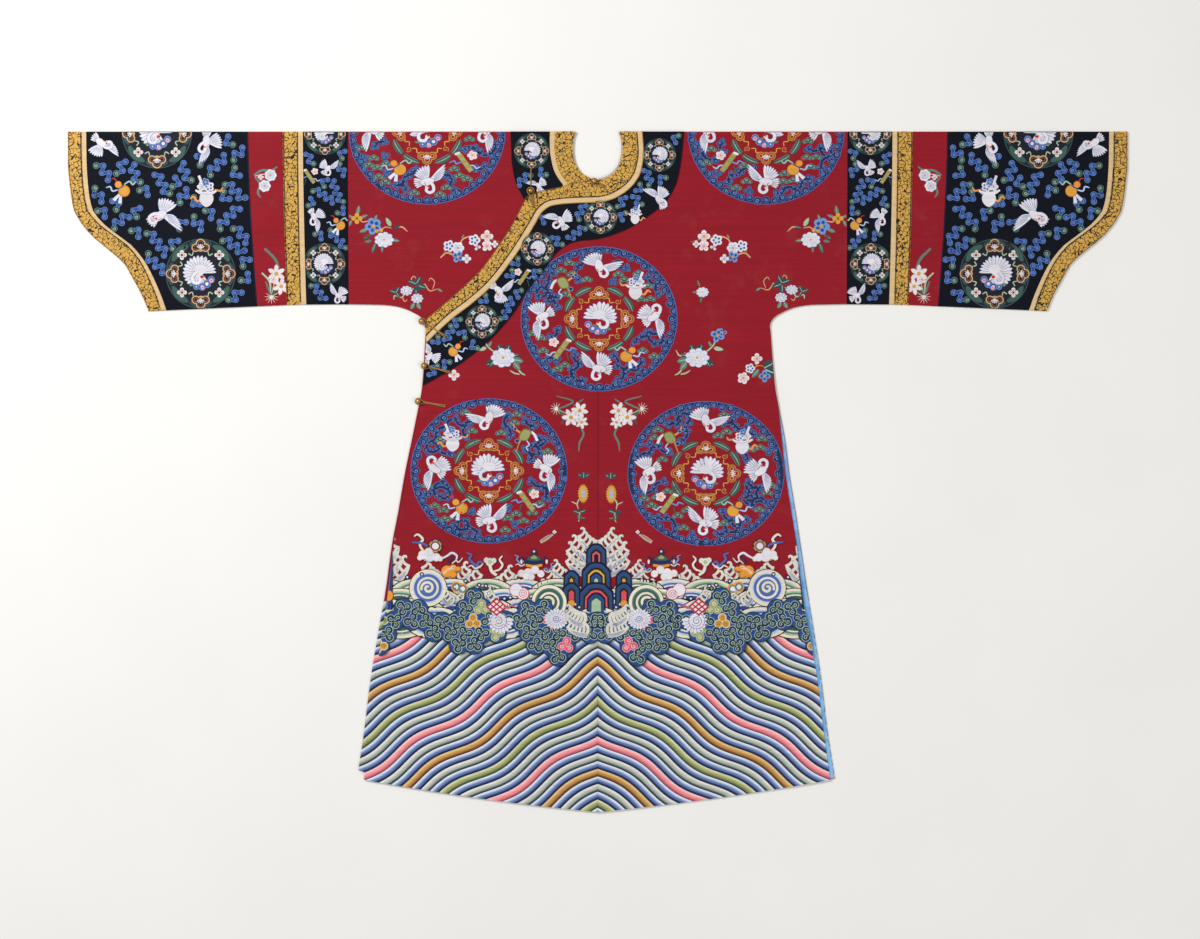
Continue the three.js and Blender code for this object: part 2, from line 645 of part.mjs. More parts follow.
function makeButton({ name, x, down, toX, toDown, layers }) {
  const top = clothTop(layers);
  const ball = new THREE.SphereGeometry(BALL_RADIUS, BALL_SEGMENTS.round, BALL_SEGMENTS.high);
  const centre = place(x, down, top + SEAT + BALL_RADIUS);
  ball.translate(...centre.toArray());
  addPiece(`button_${name}`, ball, BRASS);
  const height = name === "chest" ? clothTop(3) : top;
  const foot = place(x, down, height + LOOP_HEIGHT);
  const loopRadius = Math.sqrt(CLEAR_OF_BALL ** 2 - (centre.z - foot.z) ** 2);
  const end = place(toX, toDown, height + LOOP_HEIGHT);
  const away = end.clone().sub(foot).normalize();
  const beside = new THREE.Vector3(-away.y, away.x, 0);
  const strand = (at, sign) => at.clone().addScaledVector(beside, sign * STRAND_SPACING);
  const neck = foot.clone().addScaledVector(away, loopRadius * STRANDS_MEET);
  const turn = LOOP_TURN.map((angle) =>
    foot
      .clone()
      .addScaledVector(away, loopRadius * Math.cos(angle))
      .addScaledVector(beside, loopRadius * Math.sin(angle)),
  );
  const points = [strand(end, 1), strand(neck, 1), ...turn, strand(neck, -1), strand(end, -1)];
  addPiece(`loop_${name}`, cordAlong(points), CORD);
}

function makeStem() {
  const height = clothTop(2) + LOOP_HEIGHT;
  const points = [0, 0.5, 1].map((share) =>
    place(lerp(STEM.x, STEM.toX, share), lerp(STEM.down, STEM.toDown, share), height),
  );
  addPiece("button_stem_chest", cordAlong(points), CORD);
}

makeBody();
makeOuterFront();
makeVentLining();
makeSleeve(1, "left");
makeSleeve(-1, "right");
makeCollar();
BUTTONS.forEach(makeButton);
makeStem();

export default model;
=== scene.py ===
# %% [markdown]
# # A Manchu court robe, laid flat
# The robe is crimson silk with woven roundels, sprigs, waves and slanting stripes. It lies with its
# front up, and closes at the wearer's right side. This lesson dresses the plain solids of the robe
# with thin cloth, laid ornament, buttons and cords. Sizes are in millimetres until they are placed.

# %% Load the fixed frame
import json
import math
import random

import bpy
import numpy as np
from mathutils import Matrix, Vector
from mathutils.geometry import delaunay_2d_cdt, tessellate_polygon

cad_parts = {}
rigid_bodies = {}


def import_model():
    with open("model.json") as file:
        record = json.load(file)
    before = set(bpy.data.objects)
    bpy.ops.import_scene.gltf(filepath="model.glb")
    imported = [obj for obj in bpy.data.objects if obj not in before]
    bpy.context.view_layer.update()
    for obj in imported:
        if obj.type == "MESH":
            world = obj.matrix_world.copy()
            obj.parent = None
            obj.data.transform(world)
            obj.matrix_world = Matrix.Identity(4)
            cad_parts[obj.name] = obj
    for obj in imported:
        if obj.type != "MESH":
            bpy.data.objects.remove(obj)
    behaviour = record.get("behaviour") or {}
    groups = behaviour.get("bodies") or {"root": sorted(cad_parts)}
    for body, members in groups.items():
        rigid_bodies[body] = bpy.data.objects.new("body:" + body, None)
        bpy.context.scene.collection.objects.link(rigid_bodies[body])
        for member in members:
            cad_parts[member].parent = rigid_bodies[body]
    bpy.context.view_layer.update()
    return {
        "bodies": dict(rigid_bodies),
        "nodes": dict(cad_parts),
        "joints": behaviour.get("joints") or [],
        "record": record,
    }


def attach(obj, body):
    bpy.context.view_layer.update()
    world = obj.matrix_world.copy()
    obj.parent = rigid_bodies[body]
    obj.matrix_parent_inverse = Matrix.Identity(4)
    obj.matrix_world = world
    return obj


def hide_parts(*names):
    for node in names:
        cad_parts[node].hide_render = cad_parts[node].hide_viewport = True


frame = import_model()

# %% [markdown]
# ## The camera
# The photograph looks straight down on the robe. A long lens from six metres keeps the shoulders and
# the hem at the same scale, as in the photograph.

# %% Camera
FRAME_WIDTH = 2.472
CAMERA_HEIGHT = 6.0
SENSOR = 36.0
camera_data = bpy.data.cameras.new("camera")
camera_data.sensor_width = SENSOR
camera_data.lens = SENSOR * CAMERA_HEIGHT / FRAME_WIDTH
camera_data.clip_end = 50
camera = bpy.data.objects.new("camera", camera_data)
camera.location = (0.0048, 0.0047, CAMERA_HEIGHT + 0.004)
bpy.context.collection.objects.link(camera)
bpy.context.scene.camera = camera
print("lens in mm:", round(camera_data.lens, 1))

# %% [markdown]
# ## Floor and light
# Even light from all round keeps the dyes true, and a broad lamp from the upper left draws the low
# folds. The colours are shown as they are, with no film curve.

# %% Floor and lamps
scene = bpy.context.scene
scene.view_settings.view_transform = "Standard"
scene.view_settings.look = "None"
world = bpy.data.worlds.new("studio")
world.use_nodes = True
world.node_tree.nodes["Background"].inputs["Color"].default_value = (1.0, 1.0, 1.0, 1.0)
world.node_tree.nodes["Background"].inputs["Strength"].default_value = 0.45
scene.world = world


def add_lamp(name, place, size, power):
    data = bpy.data.lights.new(name, "AREA")
    data.shape = "DISK"
    data.size = size
    data.energy = power
    lamp = bpy.data.objects.new(name, data)
    lamp.location = place
    lamp.rotation_euler = Vector(place).to_track_quat("Z", "Y").to_euler()
    bpy.context.collection.objects.link(lamp)


add_lamp("key_lamp", (-3.4, 2.4, 3.2), 1.6, 185)
add_lamp("fill_lamp", (3.0, -1.2, 4.2), 2.6, 60)

FLOOR_REACH = 7.0
floor_mesh = bpy.data.meshes.new("floor")
floor_mesh.from_pydata(
    [(x * FLOOR_REACH, y * FLOOR_REACH, -0.0004) for x, y in ((-1, -1), (1, -1), (1, 1), (-1, 1))],
    [],
    [(0, 1, 2, 3)],
)
floor = bpy.data.objects.new("floor", floor_mesh)
bpy.context.collection.objects.link(floor)
print("lamps:", [lamp.name for lamp in bpy.data.lights])

# %% [markdown]
# ## The pattern's sizes
# "Out" is a distance from the centre line and "down" a distance below the shoulder fold. The tables
# hold the cutting lines of each piece, read row by row from the shoulder to the hem.

# %% Sizes of the robe
SHOULDER_Y = 701.0
WALL = 1.2
GAP = 0.3
HALF_WALL = WALL / 2
HALF_GAP = GAP / 2
LAYER = WALL + GAP
FOLD_RADIUS = LAYER / 2
BACK_LEVEL = HALF_WALL
INNER_LEVEL = BACK_LEVEL + LAYER
OUTER_LEVEL = INNER_LEVEL + LAYER
ARM_DOWN = 408.0
CORNER_DOWN = 1334.0
HEM_OUT = 489.0
HEM_RISE = 68.0
SLEEVE_ROOT_DOWN = 355.4
CUFF_DOWN = 369.8
VENT_DOWN = 565.0
LINING_WIDTH = 45.0
LINING_WALL = 1.0

NECK = {
    "down": [0, 16.5, 37, 58, 74, 86.5, 96, 100],
    "out": [44.7, 50, 51.3, 48.4, 42, 31.5, 16, 0],
}
BODY = {
    "down": [408, 525, 567, 630, 700, 780, 840, 940, 1040, 1128, 1233, 1334],
    "right": [354, 362, 370, 383, 397.5, 411.5, 423, 437, 454, 468, 481, 493],
    "left": [356, 366, 374, 386, 395, 408, 417, 432, 448, 461, 473.5, 489],
    "right_inset": [1, 2, 3, 4, 4, 4, 4, 6, 8, 9, 9, 12],
    "left_inset": [0.5, 0.5, 1.5, 6.5, 8, 8.5, 7.5, 13, 10, 8, 8, 10],
}
ARM = {"down": [355.4, 357, 361.5, 370.5, 383, 396, 408], "out": [512, 440, 409, 385, 364, 355.5, 354.5]}
SLANT = {
    "down": [100.5, 108, 116.5, 126, 135, 160, 195, 248, 286, 324, 359, 388, 408],
    "out": [3, 46, 78, 123.5, 143.5, 158, 176.5, 211.5, 240, 279, 318.5, 352.5, 353],
}
SEAMS = {
    "root": (514.7, 513.0),
    "piping": (607.4, 600.4),
    "gold": (617.3, 610.7),
    "section": (649.0, 640.0),
    "cuff": (720.0, 701.0),
}
UNDERSIDE = {"out": [513, 606, 701, 925], "down": [355.8, 356.4, 360, 369.8]}
CUFF_EDGES = {
    "down": [0, 63, 121, 160, 186, 211, 233, 255, 273, 300, 323, 344, 369.8],
    "edge": [1091.7, 1091.7, 1086.5, 1080, 1066, 1046, 1021, 994, 975, 959.5, 946.5, 936, 926],
    "gold": [1063, 1062, 1058, 1050.5, 1031, 1000, 970, 950, 938, 924.5, 914.5, 906.5, 899],
    "piping": [1054, 1053, 1049, 1041, 1022, 992, 962, 942.5, 930, 916, 906, 897.5, 889],
}
INNER_COLLAR = {
    "down": [0, 16.5, 37, 58, 74, 86.5, 96, 100.5, 104, 108, 111, 114.5, 116.5, 121, 126, 135, 139],
    "neck": [44.7, 50, 51.3, 48.4, 42, 31.5, 17, 17, 26, 47, 57.5, 58, 58, 58, 58, 58, 58],
    "gold": [88, 88.5, 88.9, 86, 82, 76.5, 71, 67.5, 64.5, 61.5, 60.5, 71.5, 72, 72, 72, 72, 72],
    "piping": [
        98.5, 98.8, 98.5, 95.5, 92, 87, 81.5, 78.5, 76, 72.5, 71.5, 74.5, 80, 101.5, 125.5, 145.5, 148.5,
    ],
    "navy": [
        179.5, 179, 178, 177.5, 175.5, 173.5, 171.5, 170.5, 169,
        168, 167, 165.5, 164.5, 162, 159, 154.5, 152.5,
    ],
}
COLLAR_EDGES = {
    "neck": [
        (44.7, 0), (50, 16.5), (51.3, 37), (48.4, 58), (42, 74), (31.5, 86.5), (16, 96), (0, 100.2),
        (-46, 108), (-78, 116.5), (-123.5, 126), (-143.5, 135), (-158, 160), (-176.5, 195),
        (-211.5, 248), (-240, 286), (-279, 324), (-318.5, 359), (-353.3, 388),
    ],
    "gold": [
        (81.5, 0), (84.5, 42), (79, 76), (69, 97), (47, 118), (20, 131.5), (0, 135.5), (-34, 136.5),
        (-65, 138), (-100, 143.5), (-123.5, 160), (-138, 184.5), (-162, 223.5), (-191.5, 267),
        (-226, 310), (-265, 345), (-308, 378), (-337, 405), (-353.3, 422),
    ],
    "piping": [
        (91, 0), (93.5, 42), (88.5, 80), (77, 103), (52.5, 126.5), (22.5, 141), (0, 145), (-34, 146),
        (-63, 147.5), (-95, 152), (-116, 166.5), (-130, 190), (-153.5, 229.5), (-184, 273),
        (-219, 317), (-259, 353), (-302, 386), (-330, 411.5), (-353, 434),
    ],
    "navy": [
        (178, 0), (173, 52.5), (163.5, 102), (143, 141), (105, 174), (56.5, 203), (3, 221),
        (-46.5, 227.5), (-70, 238), (-90, 256.5), (-114.5, 291.5), (-139.5, 320.5), (-170, 370),
        (-202, 409), (-238, 444), (-289.5, 483), (-360, 524),
    ],
}
print("rows in the body's table:", len(BODY["down"]))

# %% [markdown]
# ## Curves through the tables
# A cutter draws a fair curve through the marks of a pattern. A monotone curve does the same here: it
# passes every mark and never swings out between two of them.

# %% Fair curves
def fair_curve(marks, values, wanted):
    """Values at the wanted places of a curve that passes every mark without overshoot."""
    marks = np.asarray(marks, float)
    values = np.asarray(values, float)
    wanted = np.clip(np.asarray(wanted, float), marks[0], marks[-1])
    step = np.diff(marks)
    slope = np.diff(values) / step
    lean = np.zeros_like(marks)
    lean[0] = slope[0]
    lean[-1] = slope[-1]
    for index in range(1, len(marks) - 1):
        before, after = slope[index - 1], slope[index]
        if before * after > 0:
            lean[index] = 2 * before * after / (before + after)
    index = np.clip(np.searchsorted(marks, wanted, side="right") - 1, 0, len(step) - 1)
    share = (wanted - marks[index]) / step[index]
    run = step[index]
    square, cube = share**2, share**3
    return (
        values[index] * (2 * cube - 3 * square + 1)
        + values[index + 1] * (3 * square - 2 * cube)
        + lean[index] * run * (cube - 2 * square + share)
        + lean[index + 1] * run * (cube - square)
    )


def look_up(table, key, column, wanted):
    return fair_curve(table[key], table[column], wanted)


def fair_line(points, count):
    """A smooth open line through points, with count + 1 evenly spaced places."""
    points = np.asarray(points, float)
    run = np.concatenate([[0], np.cumsum(np.hypot(*np.diff(points, axis=0).T))])
    fine = np.linspace(0, run[-1], 40 * len(points))
    dense = np.stack([fair_curve(run, points[:, axis], fine) for axis in (0, 1)], axis=1)
    way = np.concatenate([[0], np.cumsum(np.hypot(*np.diff(dense, axis=0).T))])
    even = np.linspace(0, way[-1], count + 1)
    return np.stack([np.interp(even, way, dense[:, axis]) for axis in (0, 1)], axis=1)


def fade(value, low, high):
    share = np.clip((np.asarray(value, float) - low) / (high - low), 0, 1)
    return share * share * (3 - 2 * share)


print("neck at 50 mm down:", round(float(look_up(NECK, "down", "out", 50)), 1))

# %% [markdown]
# ## Folds and creases
# Silk that lies flat still keeps broad soft ridges, and short creases where it was folded away. Each
# is a ridge or trough between two places, fading at its ends. All layers of the front share them, so
# the layers stay clear of each other.

# %% Heights of the front
FOLDS = [
    (-405, 190, -372, 300, 1.5, 16),
    (405, 190, 366, 340, 1.8, 22),
    (335, 330, 265, 540, 1.8, 30),
    (-320, 640, -375, 1290, 2.4, 42),
    (-150, 660, -185, 1330, 1.8, 40),
    (95, 620, 120, 1340, 1.8, 38),
    (270, 600, 300, 1290, 2.4, 42),
    (-560, 130, -900, 250, 1.8, 34),
    (560, 250, 920, 140, 1.8, 34),
]
CREASES = [
    (-372, 262, -366, 330, 0.7, 4),
    (-357, 268, -352, 318, -0.5, 4),
    (-343, 272, -340, 326, 0.6, 4),
    (-326, 266, -322, 316, 0.45, 4),
    (-300, 250, -292, 330, -0.4, 6),
    (372, 250, 356, 350, 0.6, 6),
    (388, 200, 372, 300, -0.5, 6),
    (340, 300, 322, 372, 0.4, 5),
    (-470, 60, -452, 300, 0.45, 8),
    (466, 70, 450, 310, 0.45, 8),
    (-690, 40, -676, 330, 0.4, 8),
    (686, 40, 672, 330, 0.4, 8),
    (-250, 520, -262, 830, 0.5, 9),
    (60, 560, 52, 900, 0.45, 9),
    (212, 560, 226, 900, 0.5, 9),
    (-60, 600, -72, 880, -0.45, 9),
    (380, 560, 402, 900, 0.5, 8),
    (-392, 620, -410, 900, 0.5, 8),
    (-430, 1000, -448, 1330, 0.6, 9),
    (-90, 1080, -96, 1380, 0.5, 9),
    (30, 1060, 34, 1390, -0.5, 9),
    (180, 1080, 190, 1370, 0.55, 9),
    (400, 1060, 424, 1330, 0.6, 9),
    (-260, 1090, -276, 1360, -0.5, 10),
    (-800, 40, -860, 300, 0.45, 9),
    (800, 40, 866, 300, 0.45, 9),
]


def relief(x, down):
    lift = np.zeros(np.broadcast(x, down).shape)
    for from_x, from_down, to_x, to_down, height, width in FOLDS + CREASES:
        run_x, run_down = to_x - from_x, to_down - from_down
        length = math.hypot(run_x, run_down)
        ahead = ((x - from_x) * run_x + (down - from_down) * run_down) / length
        across = ((x - from_x) * run_down - (down - from_down) * run_x) / length
        ends = fade(ahead, 0, length / 3) * (1 - fade(ahead, length * 2 / 3, length))
        lift = lift + height * ends * np.exp(-((across / width) ** 2))
    return lift


def left_front_level(x, down):
    beside = (1 - fade(x, 20, 170)) * fade(down, 12, 94)
    edge = look_up(BODY, "down", "left", down)
    at_edge = 1 - fade(edge - x, LINING_WIDTH + 8, 170)
    over_lining = at_edge * fade(down, 430, VENT_DOWN - 15)
    return INNER_LEVEL + LAYER * beside + (LINING_WALL + GAP) * over_lining + relief(x, down)


def front_level(x, down):
    x, down = np.broadcast_arrays(np.asarray(x, float), np.asarray(down, float))
    return np.where(x > 0, left_front_level(x, down), OUTER_LEVEL + relief(x, down))


def sleeve_level(x, down):
    return INNER_LEVEL + relief(x, down)


def underlap_level(x, down):
    return INNER_LEVEL + np.where(np.asarray(down) < ARM_DOWN, relief(x, down), 0)


def hem_rise(out):
    return 0.094 * out + 0.0000922 * out * out


def row_down(out, down):
    share = np.maximum(0, (down - ARM_DOWN) / (CORNER_DOWN - ARM_DOWN))
    return down + HEM_RISE * share * (1 - hem_rise(out) / hem_rise(HEM_OUT))


def seam_out(seam, share):
    top, bottom = SEAMS[seam]
    return top + (bottom - top) * share**1.6


def in_metres(x, down, z):
    x, down, z = np.broadcast_arrays(x, down, z)
    return np.stack([x, SHOULDER_Y - down, z], axis=-1) / 1000


print("front level at the chest in mm:", round(float(front_level(-100, 300)), 2))

# %% [markdown]
# ## Node helpers
# The finishes are made of shader nodes. Small helpers keep the cells short: they add a node with its
# settings, or start and place a node group with named sockets.

# %% Helpers for nodes
SOCKETS = {"value": "NodeSocketFloat", "colour": "NodeSocketColor", "vector": "NodeSocketVector"}


def node(tree, kind, settings=None, **inputs):
    made = tree.nodes.new(kind)
    for name, value in (settings or {}).items():
        setattr(made, name, value)
    for name, value in inputs.items():
        socket = made.inputs[int(name[1:])] if name[0] == "i" and name[1:].isdigit() else made.inputs[name]
        if isinstance(value, bpy.types.NodeSocket):
            tree.links.new(value, socket)
        else:
            socket.default_value = value
    return made


def sum_node(tree, operation, first, second=0.0, third=0.0, clamp=False):
    settings = {"operation": operation, "use_clamp": clamp}
    return node(tree, "ShaderNodeMath", settings, i0=first, i1=second, i2=third).outputs[0]


def mix_colour(tree, share, first, second):
    made = tree.nodes.new("ShaderNodeMix")
    made.data_type = "RGBA"
    for index, value in ((0, share), (6, first), (7, second)):
        if isinstance(value, bpy.types.NodeSocket):
            tree.links.new(value, made.inputs[index])
        else:
            made.inputs[index].default_value = value
    return made.outputs[2]


def start_group(name, inputs, outputs):
    tree = bpy.data.node_groups.new(name, "ShaderNodeTree")
    for socket, kind, value in inputs:
        made = tree.interface.new_socket(socket, in_out="INPUT", socket_type=SOCKETS[kind])
        if value is not None:
            made.default_value = value
    for socket, kind in outputs:
        tree.interface.new_socket(socket, in_out="OUTPUT", socket_type=SOCKETS[kind])
    return tree, tree.nodes.new("NodeGroupInput"), tree.nodes.new("NodeGroupOutput")


def place_group(tree, name, **inputs):
    made = tree.nodes.new("ShaderNodeGroup")
    made.node_tree = bpy.data.node_groups[name]
    for socket, value in inputs.items():
        target = made.inputs[socket.replace("_", " ")]
        if isinstance(value, bpy.types.NodeSocket):
            tree.links.new(value, target)
        else:
            target.default_value = value
    return made


def vector_sum(tree, operation, first, second):
    return node(tree, "ShaderNodeVectorMath", {"operation": operation}, i0=first, i1=second).outputs[0]


def noise(tree, vector, scale, detail=2.0, roughness=0.5):
    inputs = {"Vector": vector, "Scale": scale, "Detail": detail, "Roughness": roughness}
    return node(tree, "ShaderNodeTexNoise", None, **inputs).outputs["Fac"]


def dye(code):
    """The linear colour of a dye written as RRGGBB."""
    parts = [int(code[at : at + 2], 16) / 255 for at in (0, 2, 4)]
    linear = [part / 12.92 if part <= 0.04045 else ((part + 0.055) / 1.055) ** 2.4 for part in parts]
    return (*linear, 1.0)


print("crimson in linear light:", [round(part, 3) for part in dye("A31D30")])

# %% [markdown]
# ## Woven silk
# Tapestry silk shows its weft: fine ribs across the cloth, and longer streaks where a dye lot
# changed. The group takes a colour and returns it with streaks, and a height for the ribs.

# %% Group: woven silk
tree, inside, outside = start_group(
    "woven silk",
    [
        ("Vector", "vector", None),
        ("Colour", "colour", (1, 1, 1, 1)),
        ("Streaks", "value", 0.25),
        ("Rib width", "value", 0.0016),
    ],
    [("Colour", "colour"), ("Height", "value")],
)
place = inside.outputs["Vector"]
wide_streaks = noise(tree, vector_sum(tree, "MULTIPLY", place, (2.2, 160.0, 2.2)), 1.0, 3.0, 0.6)
fine_streaks = noise(tree, vector_sum(tree, "MULTIPLY", place, (9.0, 620.0, 9.0)), 1.0, 1.0)
faded = noise(tree, place, 2.4, 3.0, 0.55)
tone = sum_node(tree, "MULTIPLY_ADD", wide_streaks, 0.5, 0.0)
tone = sum_node(tree, "MULTIPLY_ADD", fine_streaks, 0.35, tone)
tone = sum_node(tree, "MULTIPLY_ADD", faded, 0.3, tone)
tone = sum_node(tree, "SUBTRACT", tone, 0.575)
tone = sum_node(tree, "MULTIPLY", tone, inside.outputs["Streaks"])
tone = sum_node(tree, "MULTIPLY_ADD", tone, 3.2, 1.0)
bright = tree.nodes.new("ShaderNodeVectorMath")
bright.operation = "SCALE"
tree.links.new(inside.outputs["Colour"], bright.inputs[0])
tree.links.new(tone, bright.inputs["Scale"])
tree.links.new(bright.outputs[0], outside.inputs["Colour"])
across = node(tree, "ShaderNodeSeparateXYZ", None, Vector=place)
rib = sum_node(tree, "DIVIDE", across.outputs["Y"], inside.outputs["Rib width"])
rib = sum_node(tree, "SINE", sum_node(tree, "MULTIPLY", rib, 2 * math.pi))
height = sum_node(tree, "MULTIPLY_ADD", rib, 0.4, sum_node(tree, "MULTIPLY", fine_streaks, 1.6))
tree.links.new(height, outside.inputs["Height"])
print("group made:", tree.name)

# %% [markdown]
# ## Slanting stripes
# Below the waves the robe has standing water: stripes that slant to both sides from the centre seam
# and swell in long waves. The stripe's place is a sum of the distance down, the distance out and a
# sine. Ramps then give each stripe its light, middle and dark thread.

# %% Group: slanting stripes
STRIPE_PITCH = 73.1 / 4
STRIPE_START = 880.7 - STRIPE_PITCH / 2
STRIPE_SLANT = 0.62
STRIPES_FROM = 968.0
SWELL_HEIGHT = 8.9
SWELL_LENGTH = 249.3
SWELL_START = 1156.0
STRIPE_ORDER = ["gold", "blue", "grey", "blue", "olive", "blue"]
STRIPE_ORDER += ["grey", "blue", "pink", "blue", "grey", "blue"]
STRIPE_DYES = {
    "gold": ("E6C084", "BC8A46", "684220"),
    "olive": ("D6D4A0", "98A064", "4E5B3C"),
    "pink": ("FBC4C0", "EE8C92", "BF5466"),
    "blue": ("DCE4F2", "627DB4", "16224F"),
    "grey": ("E6E3D8", "ACB4AA", "3C4B4E"),
}
tree, inside, outside = start_group(
    "slanting stripes", [("Vector", "vector", None)], [("Colour", "colour"), ("Mask", "value")]
)
place = node(tree, "ShaderNodeSeparateXYZ", None, Vector=inside.outputs["Vector"])
out_mm = sum_node(tree, "MULTIPLY", sum_node(tree, "ABSOLUTE", place.outputs["X"]), 1000.0)
down_mm = sum_node(tree, "MULTIPLY_ADD", place.outputs["Y"], -1000.0, SHOULDER_Y)
swell = sum_node(tree, "MULTIPLY_ADD", down_mm, 0.776, out_mm)
swell = sum_node(tree, "SUBTRACT", swell, SWELL_START)
swell = sum_node(tree, "SINE", sum_node(tree, "MULTIPLY", swell, 2 * math.pi / SWELL_LENGTH))
level = sum_node(tree, "MULTIPLY_ADD", out_mm, -STRIPE_SLANT, down_mm)
level = sum_node(tree, "MULTIPLY_ADD", swell, -SWELL_HEIGHT, level)
count = sum_node(tree, "DIVIDE", sum_node(tree, "SUBTRACT", level, STRIPE_START), STRIPE_PITCH)
turn = sum_node(tree, "FRACT", sum_node(tree, "DIVIDE", count, float(len(STRIPE_ORDER))))
share = sum_node(tree, "FRACT", count)
tones = []
for shade in range(3):
    ramp = tree.nodes.new("ShaderNodeValToRGB")
    ramp.color_ramp.interpolation = "CONSTANT"
    for index, name in enumerate(STRIPE_ORDER):
        stops = ramp.color_ramp.elements
        start = index / len(STRIPE_ORDER)
        stop = stops[index] if index < 2 else stops.new(start)
        stop.position = start
        stop.color = dye(STRIPE_DYES[name][shade])
    tree.links.new(turn, ramp.inputs[0])
    tones.append(ramp.outputs["Color"])


def soft_step(low, high):
    made = node(tree, "ShaderNodeMapRange", {"interpolation_type": "SMOOTHSTEP"}, Value=share)
    made.inputs["From Min"].default_value = low
    made.inputs["From Max"].default_value = high
    return made.outputs["Result"]


colour = mix_colour(tree, soft_step(0.08, 0.5), tones[0], tones[1])
colour = mix_colour(tree, soft_step(0.5, 0.82), colour, tones[2])
colour = mix_colour(tree, soft_step(0.88, 0.92), colour, dye("0C1026"))
tree.links.new(colour, outside.inputs["Colour"])
tree.links.new(sum_node(tree, "GREATER_THAN", down_mm, STRIPES_FROM), outside.inputs["Mask"])
print("stripes in one turn:", len(STRIPE_ORDER))

# %% [markdown]
# ## Gold brocade lines
# The gold bands carry a dense scroll in fine black silk. Cells with wavering edges give lines of the
# same spacing, and a second noise breaks them, as stems that end in a curl.

# %% Group: black scroll
tree, inside, outside = start_group(
    "black scroll",
    [("Vector", "vector", None), ("Cell", "value", 0.0078), ("Line", "value", 0.068)],
    [("Mask", "value")],
)
size = sum_node(tree, "DIVIDE", 1.0, inside.outputs["Cell"])
place = inside.outputs["Vector"]
waver = node(tree, "ShaderNodeTexNoise", None, Vector=place, Scale=150.0, Detail=1.0)
waver = vector_sum(tree, "SUBTRACT", waver.outputs["Color"], (0.5, 0.5, 0.5))
waver = vector_sum(tree, "MULTIPLY", waver, (0.0058, 0.0058, 0.0))
flat = vector_sum(tree, "MULTIPLY", vector_sum(tree, "ADD", place, waver), (1.0, 1.0, 0.0))
cells = node(tree, "ShaderNodeTexVoronoi", {"feature": "DISTANCE_TO_EDGE"}, Vector=flat, Scale=size)
line = sum_node(tree, "LESS_THAN", cells.outputs["Distance"], inside.outputs["Line"])
gaps = sum_node(tree, "GREATER_THAN", noise(tree, place, 190.0, 0.0), 0.36)
tree.links.new(sum_node(tree, "MULTIPLY", line, gaps), outside.inputs["Mask"])
print("group made:", tree.name)

# %% [markdown]
# ## Handling wear
# A robe that was worn is a little rubbed: small patches are paler.

# %% Group: rubbed patches
tree, inside, outside = start_group(
    "rubbed patches",
    [("Vector", "vector", None), ("Colour", "colour", (1, 1, 1, 1)), ("Amount", "value", 0.2)],
    [("Colour", "colour"), ("Mask", "value")],
)
patches = noise(tree, inside.outputs["Vector"], 14.0, 4.0, 0.65)
patches = node(tree, "ShaderNodeMapRange", None, Value=patches)
patches.inputs["From Min"].default_value = 0.56
patches.inputs["From Max"].default_value = 0.78
rubbed = sum_node(tree, "MULTIPLY", patches.outputs["Result"], inside.outputs["Amount"], clamp=True)
tree.links.new(rubbed, outside.inputs["Mask"])
paler = mix_colour(tree, rubbed, inside.outputs["Colour"], dye("C98A84"))
tree.links.new(paler, outside.inputs["Colour"])
print("group made:", tree.name)

# %% [markdown]
# ## The finishes
# Each material keeps its own shader and takes its colour, roughness and bump from the groups. Silk is
# a soft gloss with sheen; gilt thread is partly metal; the lining is a smooth blue damask.


def start_material(name, roughness, sheen, metallic, specular):
    material = bpy.data.materials.new(name)
    material.use_nodes = True
    tree = material.node_tree
    shader = tree.nodes["Principled BSDF"]
    shader.inputs["Roughness"].default_value = roughness
    shader.inputs["Sheen Weight"].default_value = sheen
    shader.inputs["Metallic"].default_value = metallic
    shader.inputs["Specular IOR Level"].default_value = specular
    vector = tree.nodes.new("ShaderNodeTexCoord").outputs["Object"]
    return material, tree, shader, vector


def add_bump(tree, shader, height, distance, strength=0.5):
    bump = node(tree, "ShaderNodeBump", None, Height=height, Distance=distance, Strength=strength)
    tree.links.new(bump.outputs["Normal"], shader.inputs["Normal"])


def weave(tree, shader, vector, colour, streaks, rib_width=0.0016, bump=0.00012, wear=0.0):
    """Gives a finish the woven silk's colour and ribs, with rubbed patches where it has wear."""
    inputs = {"Vector": vector, "Colour": colour, "Streaks": streaks, "Rib_width": rib_width}
    silk = place_group(tree, "woven silk", **inputs)
    dyed = silk.outputs["Colour"]
    if wear:
        dyed = place_group(tree, "rubbed patches", Vector=vector, Colour=dyed, Amount=wear).outputs["Colour"]
    tree.links.new(dyed, shader.inputs["Base Color"])
    add_bump(tree, shader, silk.outputs["Height"], bump)


crimson_silk, tree, shader, vector = start_material("crimson_silk", 0.6, 0.05, 0.0, 0.2)
stripes = place_group(tree, "slanting stripes", Vector=vector)
ground = mix_colour(tree, stripes.outputs["Mask"], dye("8E081C"), stripes.outputs["Colour"])
weave(tree, shader, vector, ground, 0.27, wear=0.06)

navy_silk, tree, shader, vector = start_material("navy_silk", 0.66, 0.0, 0.0, 0.12)
weave(tree, shader, vector, dye("080B18"), 0.3)

